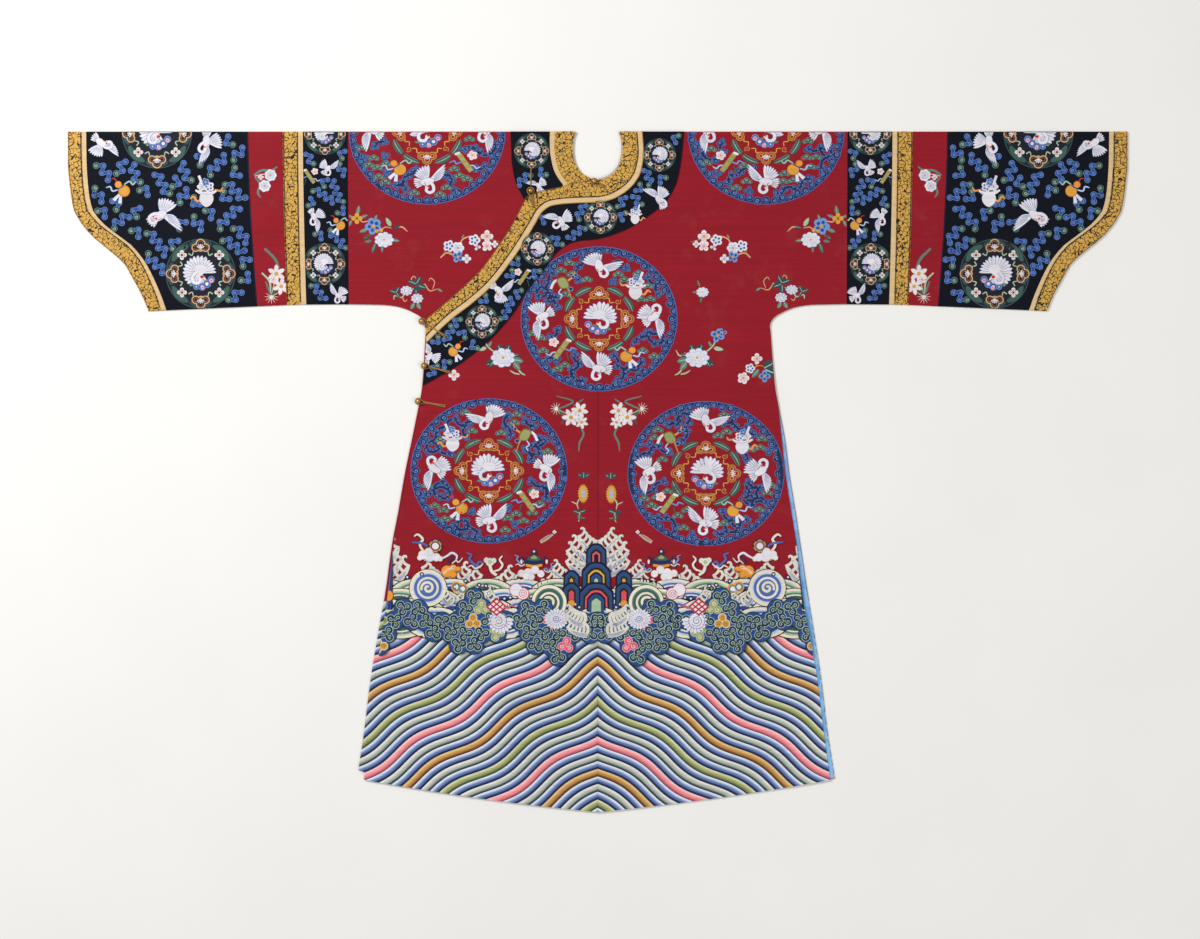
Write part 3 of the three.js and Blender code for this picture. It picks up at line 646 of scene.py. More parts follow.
gold_brocade, tree, shader, vector = start_material("gold_brocade", 0.48, 0.0, 0.15, 0.4)
scroll = place_group(tree, "black scroll", Vector=vector)
glints = noise(tree, vector, 260.0, 2.0)
gilt = mix_colour(tree, glints, dye("BE8C30"), dye("E4B558"))
gilt = mix_colour(tree, scroll.outputs["Mask"], gilt, dye("1C150C"))
weave(tree, shader, vector, gilt, 0.18, 0.0012, 0.0001)
tree.links.new(sum_node(tree, "MULTIPLY_ADD", scroll.outputs["Mask"], 0.2, 0.46), shader.inputs["Roughness"])

cream_piping, tree, shader, vector = start_material("cream_piping", 0.6, 0.1, 0.0, 0.25)
weave(tree, shader, vector, dye("D9B988"), 0.3, 0.0011, wear=0.2)

blue_lining, tree, shader, vector = start_material("blue_lining", 0.4, 0.12, 0.0, 0.45)
cells = node(tree, "ShaderNodeTexVoronoi", {"feature": "SMOOTH_F1"}, Vector=vector, Scale=62.0)
damask = sum_node(tree, "LESS_THAN", cells.outputs["Distance"], 0.42)
figure = mix_colour(tree, damask, dye("6FA8DC"), dye("86BBE8"))
weave(tree, shader, vector, figure, 0.12, 0.0009, 0.00008)

brass_button, tree, shader, vector = start_material("brass_button", 0.34, 0.0, 0.92, 0.5)
tarnish = noise(tree, vector, 700.0, 3.0)
tree.links.new(mix_colour(tree, tarnish, dye("8A5E2A"), dye("DDB26C")), shader.inputs["Base Color"])
tree.links.new(sum_node(tree, "MULTIPLY_ADD", tarnish, 0.3, 0.2), shader.inputs["Roughness"])
add_bump(tree, shader, tarnish, 0.0002, 0.4)

loop_cord, tree, shader, vector = start_material("loop_cord", 0.68, 0.1, 0.0, 0.3)
fibres = noise(tree, vector_sum(tree, "MULTIPLY", vector, (900.0, 900.0, 900.0)), 1.0, 2.0)
tree.links.new(mix_colour(tree, fibres, dye("6E4D22"), dye("B08A4C")), shader.inputs["Base Color"])
add_bump(tree, shader, fibres, 0.0003, 0.6)

floor_finish, tree, shader, vector = start_material("pale_floor", 0.9, 0.0, 0.0, 0.1)
paper = noise(tree, vector, 3.0, 3.0)
tree.links.new(mix_colour(tree, paper, dye("EFEDE9"), dye("F6F4F0")), shader.inputs["Base Color"])
floor.data.materials.append(floor_finish)
print("finishes:", len(bpy.data.materials))

# %% [markdown]
# ## Cloth as a thin wall
# Real cloth has two faces and a cut edge. A grid of places, pushed out to both sides and closed round
# its border, gives a shell that is as thick as the silk with its lining.

# %% Helper: cloth wall
def finish_mesh(name, points, faces, material, smooth_angle=50):
    mesh = bpy.data.meshes.new(name)
    mesh.from_pydata(points.tolist(), [], faces.tolist() if hasattr(faces, "tolist") else faces)
    mesh.materials.append(material)
    mesh.polygons.foreach_set("use_smooth", [True] * len(mesh.polygons))
    mesh.set_sharp_from_angle(angle=math.radians(smooth_angle))
    mesh.update()
    piece = bpy.data.objects.new(name, mesh)
    bpy.context.collection.objects.link(piece)
    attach(piece, "root")
    return piece


UP = np.array([0.0, 0.0, 1.0])


def cloth_wall(name, middle, material, normals=UP, half_wall=HALF_WALL, ring=False):
    """Cloth whose middle is rows x columns x 3; with ring, the rows close to a tube."""
    rows, columns = middle.shape[:2]
    points = np.concatenate([middle + normals * half_wall / 1000, middle - normals * half_wall / 1000])
    points = points.reshape(-1, 3)
    at = np.arange(rows * columns).reshape(rows, columns)
    under = at + rows * columns
    upper_rows = np.vstack([at, at[:1]]) if ring else at
    under_rows = np.vstack([under, under[:1]]) if ring else under

    def quads(first, second, third, fourth):
        return np.stack([first, second, third, fourth], axis=-1).reshape(-1, 4)

    faces = [
        quads(upper_rows[:-1, :-1], upper_rows[1:, :-1], upper_rows[1:, 1:], upper_rows[:-1, 1:]),
        quads(under_rows[:-1, :-1], under_rows[:-1, 1:], under_rows[1:, 1:], under_rows[1:, :-1]),
        quads(upper_rows[:-1, 0], under_rows[:-1, 0], under_rows[1:, 0], upper_rows[1:, 0]),
        quads(upper_rows[:-1, -1], upper_rows[1:, -1], under_rows[1:, -1], under_rows[:-1, -1]),
    ]
    if not ring:
        faces.append(quads(at[0, :-1], at[0, 1:], under[0, 1:], under[0, :-1]))
        faces.append(quads(at[-1, :-1], under[-1, :-1], under[-1, 1:], at[-1, 1:]))
    faces = np.concatenate(faces)
    volume = 0
    for corners in (points[faces[:, :3]], points[faces[:, [0, 2, 3]]]):
        volume += np.einsum("ij,ij->i", corners[:, 0], np.cross(corners[:, 1], corners[:, 2])).sum()
    if volume < 0:
        faces = faces[:, ::-1]
    piece = finish_mesh(name + "_silk", points, faces, material)
    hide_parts(name)
    return piece


def flat_area(middle):
    """Area of a grid's middle, in square metres."""
    first = np.cross(middle[1:, :-1] - middle[:-1, :-1], middle[:-1, 1:] - middle[:-1, :-1])
    second = np.cross(middle[1:, :-1] - middle[1:, 1:], middle[:-1, 1:] - middle[1:, 1:])
    return float((np.linalg.norm(first, axis=-1).sum() + np.linalg.norm(second, axis=-1).sum()) / 2)


SHEETS = {}
LEAST_FLAT = 0.01  # the narrowest sheet that can be declared; the pipings show 9 to 10 mm


def declare_cloth(piece, middle, flat, rests_on=()):
    area = flat_area(middle)
    SHEETS[piece.name] = {"piece": piece, "flat": flat, "area": area, "rests_on": list(rests_on)}
    print(piece.name, "flat", [round(side, 3) for side in flat], "area", round(area, 3))


# %% [markdown]
# ## The two halves of the body
# Each half is one length of silk from the back hem, over the shoulder, to the front hem, with the
# upper sleeve cut in one with it. The left half is back and left front. The right half is back and
# the underlap, which lies inside. At the shoulder the wall turns round a small fold.

# %% Body halves
def spread(marks, pieces):
    """Each stretch between marks, cut into some pieces."""
    steps = [np.linspace(a, b, pieces, endpoint=False) for a, b in zip(marks[:-1], marks[1:])]
    return np.concatenate([*steps, marks[-1:]])


BODY_COLUMNS = 44
NECK_SIDE = 45.1
TUCK_FROM = 1240
UPPER_DOWNS = [spread(NECK["down"], 3)[1:], np.arange(112, SLEEVE_ROOT_DOWN - 6, 12), [SLEEVE_ROOT_DOWN]]
UPPER_DOWNS = np.concatenate(UPPER_DOWNS)
ARM_DOWNS = spread(ARM["down"], 3)[1:-1]
LOWER_DOWNS = np.linspace(ARM_DOWN, CORNER_DOWN, 80)
FOLD_ANGLES = np.radians(np.linspace(-90, 90, 9))
COLUMN_SHARES = np.linspace(0, 1, BODY_COLUMNS + 1) ** 1.1


def half_outline(out_at, shorter):
    """Rows of the outline below the shoulder, as downs and outs."""
    upper = seam_out("root", UPPER_DOWNS / SLEEVE_ROOT_DOWN) - HALF_GAP
    arm = look_up(ARM, "down", "out", ARM_DOWNS)
    lower_downs = LOWER_DOWNS.copy()
    lower_downs[-1] -= shorter
    outs = np.concatenate([upper, arm, out_at(LOWER_DOWNS)])
    return np.concatenate([UPPER_DOWNS, ARM_DOWNS, lower_downs]), outs


def half_grid(side, out_at, inner_out, level, tuck, shorter, facing):
    """A half's front or back; tuck draws its hem up at the corner and shorter cuts it back."""
    downs, outs = half_outline(out_at, shorter)
    neck = np.where(downs <= NECK["down"][-1], look_up(NECK, "down", "out", downs) + 0.4, 0)
    inner = np.maximum(inner_out, neck)
    across = inner[:, None] + (outs - inner)[:, None] * COLUMN_SHARES
    rows = row_down(across, downs[:, None])
    pull = tuck * fade(downs, TUCK_FROM, CORNER_DOWN - 1)[:, None]
    rows = rows - pull * (across / HEM_OUT) ** 4
    x = side * across
    middle = in_metres(x, rows, level(x, rows))
    return middle, np.broadcast_to(UP * facing, middle.shape)


def fold_grid(outs, side, edge_down, towards):
    """Rows round a fold, from the back's underside to the front."""
    angles = FOLD_ANGLES[:, None]
    down = edge_down - towards * (FOLD_RADIUS * np.cos(angles) - FOLD_RADIUS - HALF_WALL)
    z = BACK_LEVEL + FOLD_RADIUS + FOLD_RADIUS * np.sin(angles)
    middle = in_metres(side * outs[None, :] + 0 * angles, down + 0 * outs[None, :], z + 0 * outs[None, :])
    normal = np.stack(np.broadcast_arrays(0.0, towards * np.cos(angles), np.sin(angles)), axis=-1)
    return middle, np.broadcast_to(normal, middle.shape)


def body_half(name, side, back, front):
    back_middle, back_normals = half_grid(side, *back, -1.0)
    front_middle, front_normals = half_grid(side, *front, 1.0)
    outs = NECK_SIDE + (SEAMS["root"][0] - HALF_GAP - NECK_SIDE) * COLUMN_SHARES
    fold_middle, fold_normals = fold_grid(outs, side, 0, 1)
    middle = np.concatenate([back_middle[::-1], fold_middle, front_middle])
    normals = np.concatenate([back_normals[::-1], fold_normals, front_normals])
    return cloth_wall(name, middle, crimson_silk, normals), middle


def side_out(side):
    return lambda downs: look_up(BODY, "down", side, downs)


def front_out(side):
    return lambda downs: look_up(BODY, "down", side, downs) - look_up(BODY, "down", side + "_inset", downs)


def back_level(x, down):
    return BACK_LEVEL + 0 * x


HALF_CUT = (0.515, 2.8)  # the silk of one half, from hem to hem, in metres
UNDERLAP_FROM = 15
left_half, left_middle = body_half(
    "left_half_front_and_back",
    1,
    (side_out("left"), HALF_GAP, back_level, 0, 1),
    (front_out("left"), HALF_GAP, left_front_level, 0, 0),
)
right_half, right_middle = body_half(
    "right_half_back_and_underlap",
    -1,
    (lambda downs: look_up(BODY, "down", "right", downs) - 2, HALF_GAP, back_level, 17, 1),
    (side_out("right"), UNDERLAP_FROM, underlap_level, 16, 1),
)
declare_cloth(left_half, left_middle, HALF_CUT)
declare_cloth(right_half, right_middle, HALF_CUT)

# %% [markdown]
# ## The outer front
# The outer front starts at the neck, follows a slanting edge to the wearer's right side, and covers
# the underlap down to the hem.

# %% Outer front
front_rows = np.concatenate([spread(SLANT["down"], 3)[:-1], LOWER_DOWNS])
slanted = look_up(SLANT, "down", "out", np.minimum(front_rows, ARM_DOWN)) - 0.8
front_outs = np.where(front_rows < ARM_DOWN, slanted, front_out("right")(front_rows))
front_outs = np.maximum(front_outs, 2.0)
front_across = HALF_GAP + (front_outs - HALF_GAP)[:, None] * np.linspace(0, 1, BODY_COLUMNS + 1)
front_down = row_down(front_across, front_rows[:, None])
front_middle = in_metres(-front_across, front_down, OUTER_LEVEL + relief(-front_across, front_down))
outer_front = cloth_wall("outer_front", front_middle, crimson_silk)
declare_cloth(outer_front, front_middle, (0.481, 1.3), ["right_half_back_and_underlap_silk"])

# %% [markdown]
# ## The lining at the vent
# The side vent of the wearer's left lies open, so a strip of the back's blue damask shows there. Only
# that strip is made.

# %% Vent lining
lining_rows = np.append(np.linspace(VENT_DOWN - 5, 1300, 60), CORNER_DOWN - 3)
lining_edge = look_up(BODY, "down", "left", lining_rows) - 1
lining_across = lining_edge[:, None] - LINING_WIDTH * np.linspace(1, 0, 7)
lining_down = row_down(lining_across, lining_rows[:, None])
lining_level = WALL + GAP + LINING_WALL / 2
lining_middle = in_metres(lining_across, lining_down, lining_level)
vent_lining = cloth_wall("vent_lining", lining_middle, blue_lining, half_wall=LINING_WALL / 2)
declare_cloth(vent_lining, lining_middle, (0.045, 0.82), ["left_half_front_and_back_silk"])

# %% [markdown]
# ## The sleeves
# Seven pieces make each sleeve below the body's own silk. Each is a tube: over the shoulder fold,
# down the front, round the underarm fold and up the back. They meet at seams a hair's breadth apart.

# %% Sleeves
SLEEVE_SHARES = np.linspace(0.03, 0.97, 26)
SLEEVE_ROUND = 0.74  # the cut length round a sleeve, in metres


def cuff_out(column, share):
    return look_up(CUFF_EDGES, "down", column, np.asarray(share) * CUFF_DOWN)


def sleeve_tube(name, side, inner_at, outer_at, material, columns):
    steps = np.linspace(0, 1, columns + 1)

    def outs(share):
        share = np.atleast_1d(np.asarray(share, float))
        inner, outer = inner_at(share), outer_at(share)
        return inner[:, None] + (outer - inner)[:, None] * steps

    def flat_rows(shares, level):
        across = outs(shares)
        down = shares[:, None] * look_up(UNDERSIDE, "out", "down", across)
        return in_metres(side * across, down, level(side * across, down))

    top = outs(0.0)[0]
    bottom = outs(1.0)[0]
    shoulder, shoulder_normals = fold_grid(top, side, 0, 1)
    underarm, underarm_normals = fold_grid(bottom, side, look_up(UNDERSIDE, "out", "down", bottom), -1)
    front = flat_rows(SLEEVE_SHARES, sleeve_level)
    back = flat_rows(SLEEVE_SHARES[::-1], back_level)
    middle = np.concatenate([shoulder, front, underarm[::-1], back])
    front_normals, back_normals = np.broadcast_to(UP, front.shape), np.broadcast_to(-UP, back.shape)
    normals = np.concatenate([shoulder_normals, front_normals, underarm_normals[::-1], back_normals])
    piece = cloth_wall(name, middle, material, normals, ring=True)
    width = float(np.max(outs(SLEEVE_SHARES)[:, -1] - outs(SLEEVE_SHARES)[:, 0])) / 1000
    loop = np.concatenate([middle, middle[:1]])
    declare_cloth(piece, loop, (max(round(width, 3), LEAST_FLAT), SLEEVE_ROUND))


def seam_line(seam, shift):
    return lambda share: seam_out(seam, share) + shift


def cuff_line(column, shift):
    return lambda share: cuff_out(column, share) + shift


SLEEVE_PIECES = [
    ("sleeve_navy_band", seam_line, "root", seam_line, "piping", navy_silk, 9),
    ("sleeve_piping", seam_line, "piping", seam_line, "gold", cream_piping, 2),
    ("sleeve_gold_band", seam_line, "gold", seam_line, "section", gold_brocade, 4),
    ("sleeve_red_section", seam_line, "section", seam_line, "cuff", crimson_silk, 7),
    ("cuff_navy", seam_line, "cuff", cuff_line, "piping", navy_silk, 30),
    ("cuff_piping", cuff_line, "piping", cuff_line, "gold", cream_piping, 2),
    ("cuff_gold_border", cuff_line, "gold", cuff_line, "edge", gold_brocade, 4),
]
for word, side in (("left", 1), ("right", -1)):
    for name, inner_line, inner_edge, outer_line, outer_edge, material, columns in SLEEVE_PIECES:
        inner_at = inner_line(inner_edge, HALF_GAP)
        outer_at = outer_line(outer_edge, 0 if outer_edge == "edge" else -HALF_GAP)
        sleeve_tube(f"{word}_{name}", side, inner_at, outer_at, material, columns)

# %% [markdown]
# ## The collar
# Three bands follow the neck and the slanting edge: gold at the edge, a narrow cream piping, and the
# broad navy band. They lie on the panels, so they take the panels' heights and one layer more. The
# inner collar does the same on the underlap beside the neck.

# %% Collar bands
COLLAR_SECTIONS = 190
collar_lines = {name: fair_line(points, COLLAR_SECTIONS) for name, points in COLLAR_EDGES.items()}


def collar_level(x, down):
    return front_level(x, down) + LAYER


def collar_band(name, first, second, columns, material, flat, first_gap=HALF_GAP):
    start, end = collar_lines[first], collar_lines[second]
    width = np.hypot(*(end - start).T)
    low = first_gap / width
    high = 1 - HALF_GAP / width
    share = low[:, None] + (high - low)[:, None] * np.linspace(0, 1, columns + 1)
    x = start[:, :1] + (end - start)[:, :1] * share
    down = start[:, 1:] + (end - start)[:, 1:] * share
    middle = in_metres(x, down, collar_level(x, down))
    piece = cloth_wall(name, middle, material)
    declare_cloth(piece, middle, flat, ["outer_front_silk", "left_half_front_and_back_silk"])


collar_band("collar_gold_band", "neck", "gold", 5, gold_brocade, (0.036, 0.7), 0.0)
collar_band("collar_piping", "gold", "piping", 2, cream_piping, (0.012, 0.7))
collar_band("collar_navy_band", "piping", "navy", 12, navy_silk, (0.12, 0.75))


def inner_collar(name, inner_column, outer_column, end, columns, material, flat):
    downs = np.linspace(0, end, 44)
    inner = look_up(INNER_COLLAR, "down", inner_column, downs)
    inner = inner + (0.0 if inner_column == "neck" else HALF_GAP)
    outer = look_up(INNER_COLLAR, "down", outer_column, downs) - HALF_GAP
    across = inner[:, None] + (outer - inner)[:, None] * np.linspace(0, 1, columns + 1)
    middle = in_metres(-across, downs[:, None], OUTER_LEVEL)
    piece = cloth_wall(name, middle, material)
    declare_cloth(piece, middle, flat, ["right_half_back_and_underlap_silk"])


inner_collar("inner_collar_gold_band", "neck", "gold", 110.8, 5, gold_brocade, (0.05, 0.111))
inner_collar("inner_collar_piping", "gold", "piping", 114.3, 2, cream_piping, (0.011, 0.115))
inner_collar("inner_collar_navy_band", "piping", "navy", 138.6, 8, navy_silk, (0.095, 0.139))

# %% [markdown]
# ## Buttons and loops
# Ball buttons of brass sit on the edge, and a loop of twisted cord, sewn down in two strands, turns
# round the foot of each. The cord is a tube whose section has three lobes that turn as it runs.

# %% Buttons, loops and the chest button's stem
BALL_RADIUS = 5.2
CORD_RADIUS = 1.4
CORD_PITCH = 5.0
CORD_SIDES = 10
SEAT = 0.3
CLEAR_OF_BALL = BALL_RADIUS + CORD_RADIUS + 0.75
BUTTONS = [
    ("neck", -7, 103, 14, 113, 3),
    ("chest", -138, 122.5, -132, 156, 2),
    ("underarm", -361.5, 391, -312, 423, 3),
    ("side", -356.5, 483, -304, 496, 3),
    ("lower", -369, 556, -313, 566, 2),
]


def cloth_top(layers):
    return layers * LAYER + WALL


def around(at):
    """Faces between rings of points; each row of at is a ring."""
    after = np.roll(at, -1, axis=1)
    return np.stack([at[:-1], after[:-1], after[1:], at[1:]], axis=-1).reshape(-1, 4).tolist()


def sideways(line):
    """Unit steps across a line at each of its places."""
    ahead = np.gradient(line, axis=0)
    ahead = ahead / np.maximum(np.hypot(*ahead.T), 1e-9)[:, None]
    return np.stack([ahead[:, 1], -ahead[:, 0]], axis=1)


def twisted_cord(name, line, z):
    """line is a smooth row of (x, down) places in mm."""
    beside = sideways(line)
    run = np.concatenate([[0], np.cumsum(np.hypot(*np.diff(line, axis=0).T))])
    angles = np.linspace(0, 2 * math.pi, CORD_SIDES, endpoint=False)
    twist = 3 * angles[None, :] + 2 * math.pi * run[:, None] / CORD_PITCH
    swell = CORD_RADIUS * (0.86 + 0.14 * np.cos(twist))
    x = line[:, :1] + beside[:, :1] * swell * np.cos(angles)
    down = line[:, 1:] + beside[:, 1:] * swell * np.cos(angles)
    rings = in_metres(x, down, z + swell * np.sin(angles))
    at = np.arange(len(line) * CORD_SIDES).reshape(-1, CORD_SIDES)
    faces = [*around(at), at[0][::-1].tolist(), at[-1].tolist()]
    piece = finish_mesh(name, rings.reshape(-1, 3), faces, loop_cord, 70)
    return piece


def ball_button(name, x, down, z):
    rows, sides = 14, 24
    polar = np.linspace(0, math.pi, rows + 1)[1:-1]
    angles = np.linspace(0, 2 * math.pi, sides, endpoint=False)
    ribs = 1 - 0.018 * (np.cos(angles * 8) > 0.2)
    reach = BALL_RADIUS * np.sin(polar)[:, None] * ribs
    ring_x = x + reach * np.cos(angles)
    ring_down = down + reach * np.sin(angles)
    ring_z = z + BALL_RADIUS * np.cos(polar)[:, None] + 0 * angles
    poles = in_metres(x, down, np.array([z + BALL_RADIUS, z - BALL_RADIUS]))
    points = np.concatenate([in_metres(ring_x, ring_down, ring_z).reshape(-1, 3), poles])
    at = np.arange((rows - 1) * sides).reshape(-1, sides)
    top, bottom = len(points) - 2, len(points) - 1
    faces = around(at)
    faces += [[top, int(b), int(a)] for a, b in zip(at[0], np.roll(at[0], -1))]
    faces += [[bottom, int(a), int(b)] for a, b in zip(at[-1], np.roll(at[-1], -1))]
    piece = finish_mesh(name, points, faces, brass_button, 60)
    return piece


for name, x, down, to_x, to_down, layers in BUTTONS:
    top = cloth_top(layers)
    height = cloth_top(3) if name == "chest" else top
    ball_z = top + SEAT + BALL_RADIUS
    cord_z = height + SEAT + CORD_RADIUS
    ball = ball_button(f"button_{name}_ball", x, down, ball_z)
    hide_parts(f"button_{name}")
    radius = math.sqrt(CLEAR_OF_BALL**2 - (ball_z - cord_z) ** 2)
    foot, end = np.array([x, down], float), np.array([to_x, to_down], float)
    away = (end - foot) / np.hypot(*(end - foot))
    beside = np.array([-away[1], away[0]])
    neck = foot + away * radius * 1.7
    turn = [
        foot + away * radius * math.cos(angle) + beside * radius * math.sin(angle)
        for angle in np.radians(np.linspace(46, 314, 13))
    ]
    path = [end + beside * 1.6, neck + beside * 1.6, *turn, neck - beside * 1.6, end - beside * 1.6]
    loop = twisted_cord(f"loop_{name}_cord", fair_line(path, 110), cord_z)
    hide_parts(f"loop_{name}")

stem_line = fair_line([(-138, 111.5), (-137.5, 92), (-137, 73)], 24)
stem = twisted_cord("chest_stem_cord", stem_line, cloth_top(2) + SEAT + CORD_RADIUS)
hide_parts("button_stem_chest")
print("buttons:", len(BUTTONS))

# %% [markdown]
# ## Threads and smooth lines
# The roundels, flowers and waves are areas of one colour beside another, as in tapestry weave. Every
# shape has one of the dyed threads below, and its outline is a smooth line through a few marks.

# %% Threads
THREADS = {
    "white": "DDD9DF", "cream": "E4DAC4", "grey": "A3AABC", "ink": "0B0E1E", "deep": "14244F",
    "blue": "23458A", "sky": "6F93CC", "pale": "B4C6E2", "steel": "4765A6", "green": "375A52",
    "mint": "A6BF9F", "leaf": "5A7C72", "teal": "26464E", "gold": "D19C3C", "ochre": "AE8038",
    "orange": "E6942C", "peach": "D0A27A", "red": "B8202F", "rose": "D65266", "pink": "EFADA9",
    "coral": "D94A58", "foam": "D6D1C6", "olive": "98A064", "brown": "7E5632", "crimson": "93172A",
    "wine": "640F1D",
}
THREAD_COLOURS = {name: np.array(dye(code)[:3]) for name, code in THREADS.items()}


def soften(points, steps=4, closed=True):
    """A smooth line through points."""
    points = np.asarray(points, float)
    if closed:
        before, ahead, beyond = np.roll(points, 1, 0), np.roll(points, -1, 0), np.roll(points, -2, 0)
        at = points
    else:
        padded = np.vstack([2 * points[0] - points[1], points, 2 * points[-1] - points[-2]])
        before, at, ahead, beyond = padded[:-3], padded[1:-2], padded[2:-1], padded[3:]
    share = np.linspace(0, 1, steps, endpoint=False)[:, None, None]
    line = (
        2 * at
        + (ahead - before) * share
        + (2 * before - 5 * at + 4 * ahead - beyond) * share**2
        + (3 * at - before - 3 * ahead + beyond) * share**3
    ) / 2
    line = line.transpose(1, 0, 2).reshape(-1, 2)
    return line if closed else np.vstack([line, points[-1]])


def towards(turn, reach=1.0):
    """A step in a direction: 0 degrees is to the right and 90 is down."""
    return np.array([math.cos(math.radians(turn)), math.sin(math.radians(turn))]) * reach


print("threads:", len(THREADS))

# %% [markdown]
# ## Laying flat silk
# The shapes of one area are gathered and then laid as one piece. Each shape lies a hair above the one
# before it, and all take the cloth's own height, so nothing sinks into a fold. Their colour is kept
# at the corners, and one finish reads it.

# %% Ornament of one area
FIRST_LIFT = 0.22
LIFT_STEP = 0.014
HAIRS = 10
LEAST_FACE = 0.003
SHADE = 0.07
shade_draw = random.Random(370)


def face_area(x, down):
    return float(np.sum(x * np.roll(down, -1) - np.roll(x, -1) * down) / 2)


class Ornament:
    """The flat shapes of one area, kept as lists until they are laid on its cloth."""

    def __init__(self, name, level, slot_name, limits=None):
        self.name, self.level, self.slot_name, self.limits = name, level, slot_name, limits
        self.places, self.lifts, self.tints, self.faces = [], [], [], []
        self.count = 0

    def add(self, places, faces, tint, layer):
        colour = THREAD_COLOURS[tint] * shade_draw.uniform(1 - SHADE, 1 + SHADE)
        hair = 0.9 * (len(self.places) % HAIRS) / HAIRS
        self.places.append(places)
        self.lifts.append(np.full(len(places), FIRST_LIFT + LIFT_STEP * (layer + hair)))
        self.tints.append(np.broadcast_to(colour, (len(places), 3)))
        self.faces.extend([tuple(corner + self.count for corner in face) for face in faces])
        self.count += len(places)

    def lay(self):
        places = np.concatenate(self.places)
        x, down = places[:, 0], places[:, 1]
        if self.limits:
            x, down = self.limits(x, down)
        faces = []
        for face in self.faces:
            size = face_area(x[list(face)], down[list(face)])
            if abs(size) > LEAST_FACE:
                faces.append(face[::-1] if size > 0 else face)
        used = np.unique(np.concatenate([np.array(face) for face in faces]))
        new = np.full(len(places), -1)
        new[used] = np.arange(len(used))
        faces = [tuple(int(new[corner]) for corner in face) for face in faces]
        z = self.level(x, down) + HALF_WALL + np.concatenate(self.lifts)
        piece = finish_mesh(self.name, in_metres(x, down, z)[used], faces, tapestry_silk)
        layer = piece.data.color_attributes.new("thread", "FLOAT_COLOR", "POINT")
        tints = np.concatenate(self.tints)[used]
        layer.data.foreach_set("color", np.column_stack([tints, np.ones(len(tints))]).ravel())
        print(self.name, "shapes laid, faces:", len(faces))
        return piece


print("lift of one layer in mm:", LIFT_STEP)

# %% [markdown]
# ## The pen
# A pen draws flat shapes in millimetres into an area: fills, discs, ribbons and rings. A large fill
# is cut by a fine grid of places, so that it bends with the folds below it.

# %% The pen
GRID_STEP = 6.5
SMALL_SHAPE = 2.2 * GRID_STEP


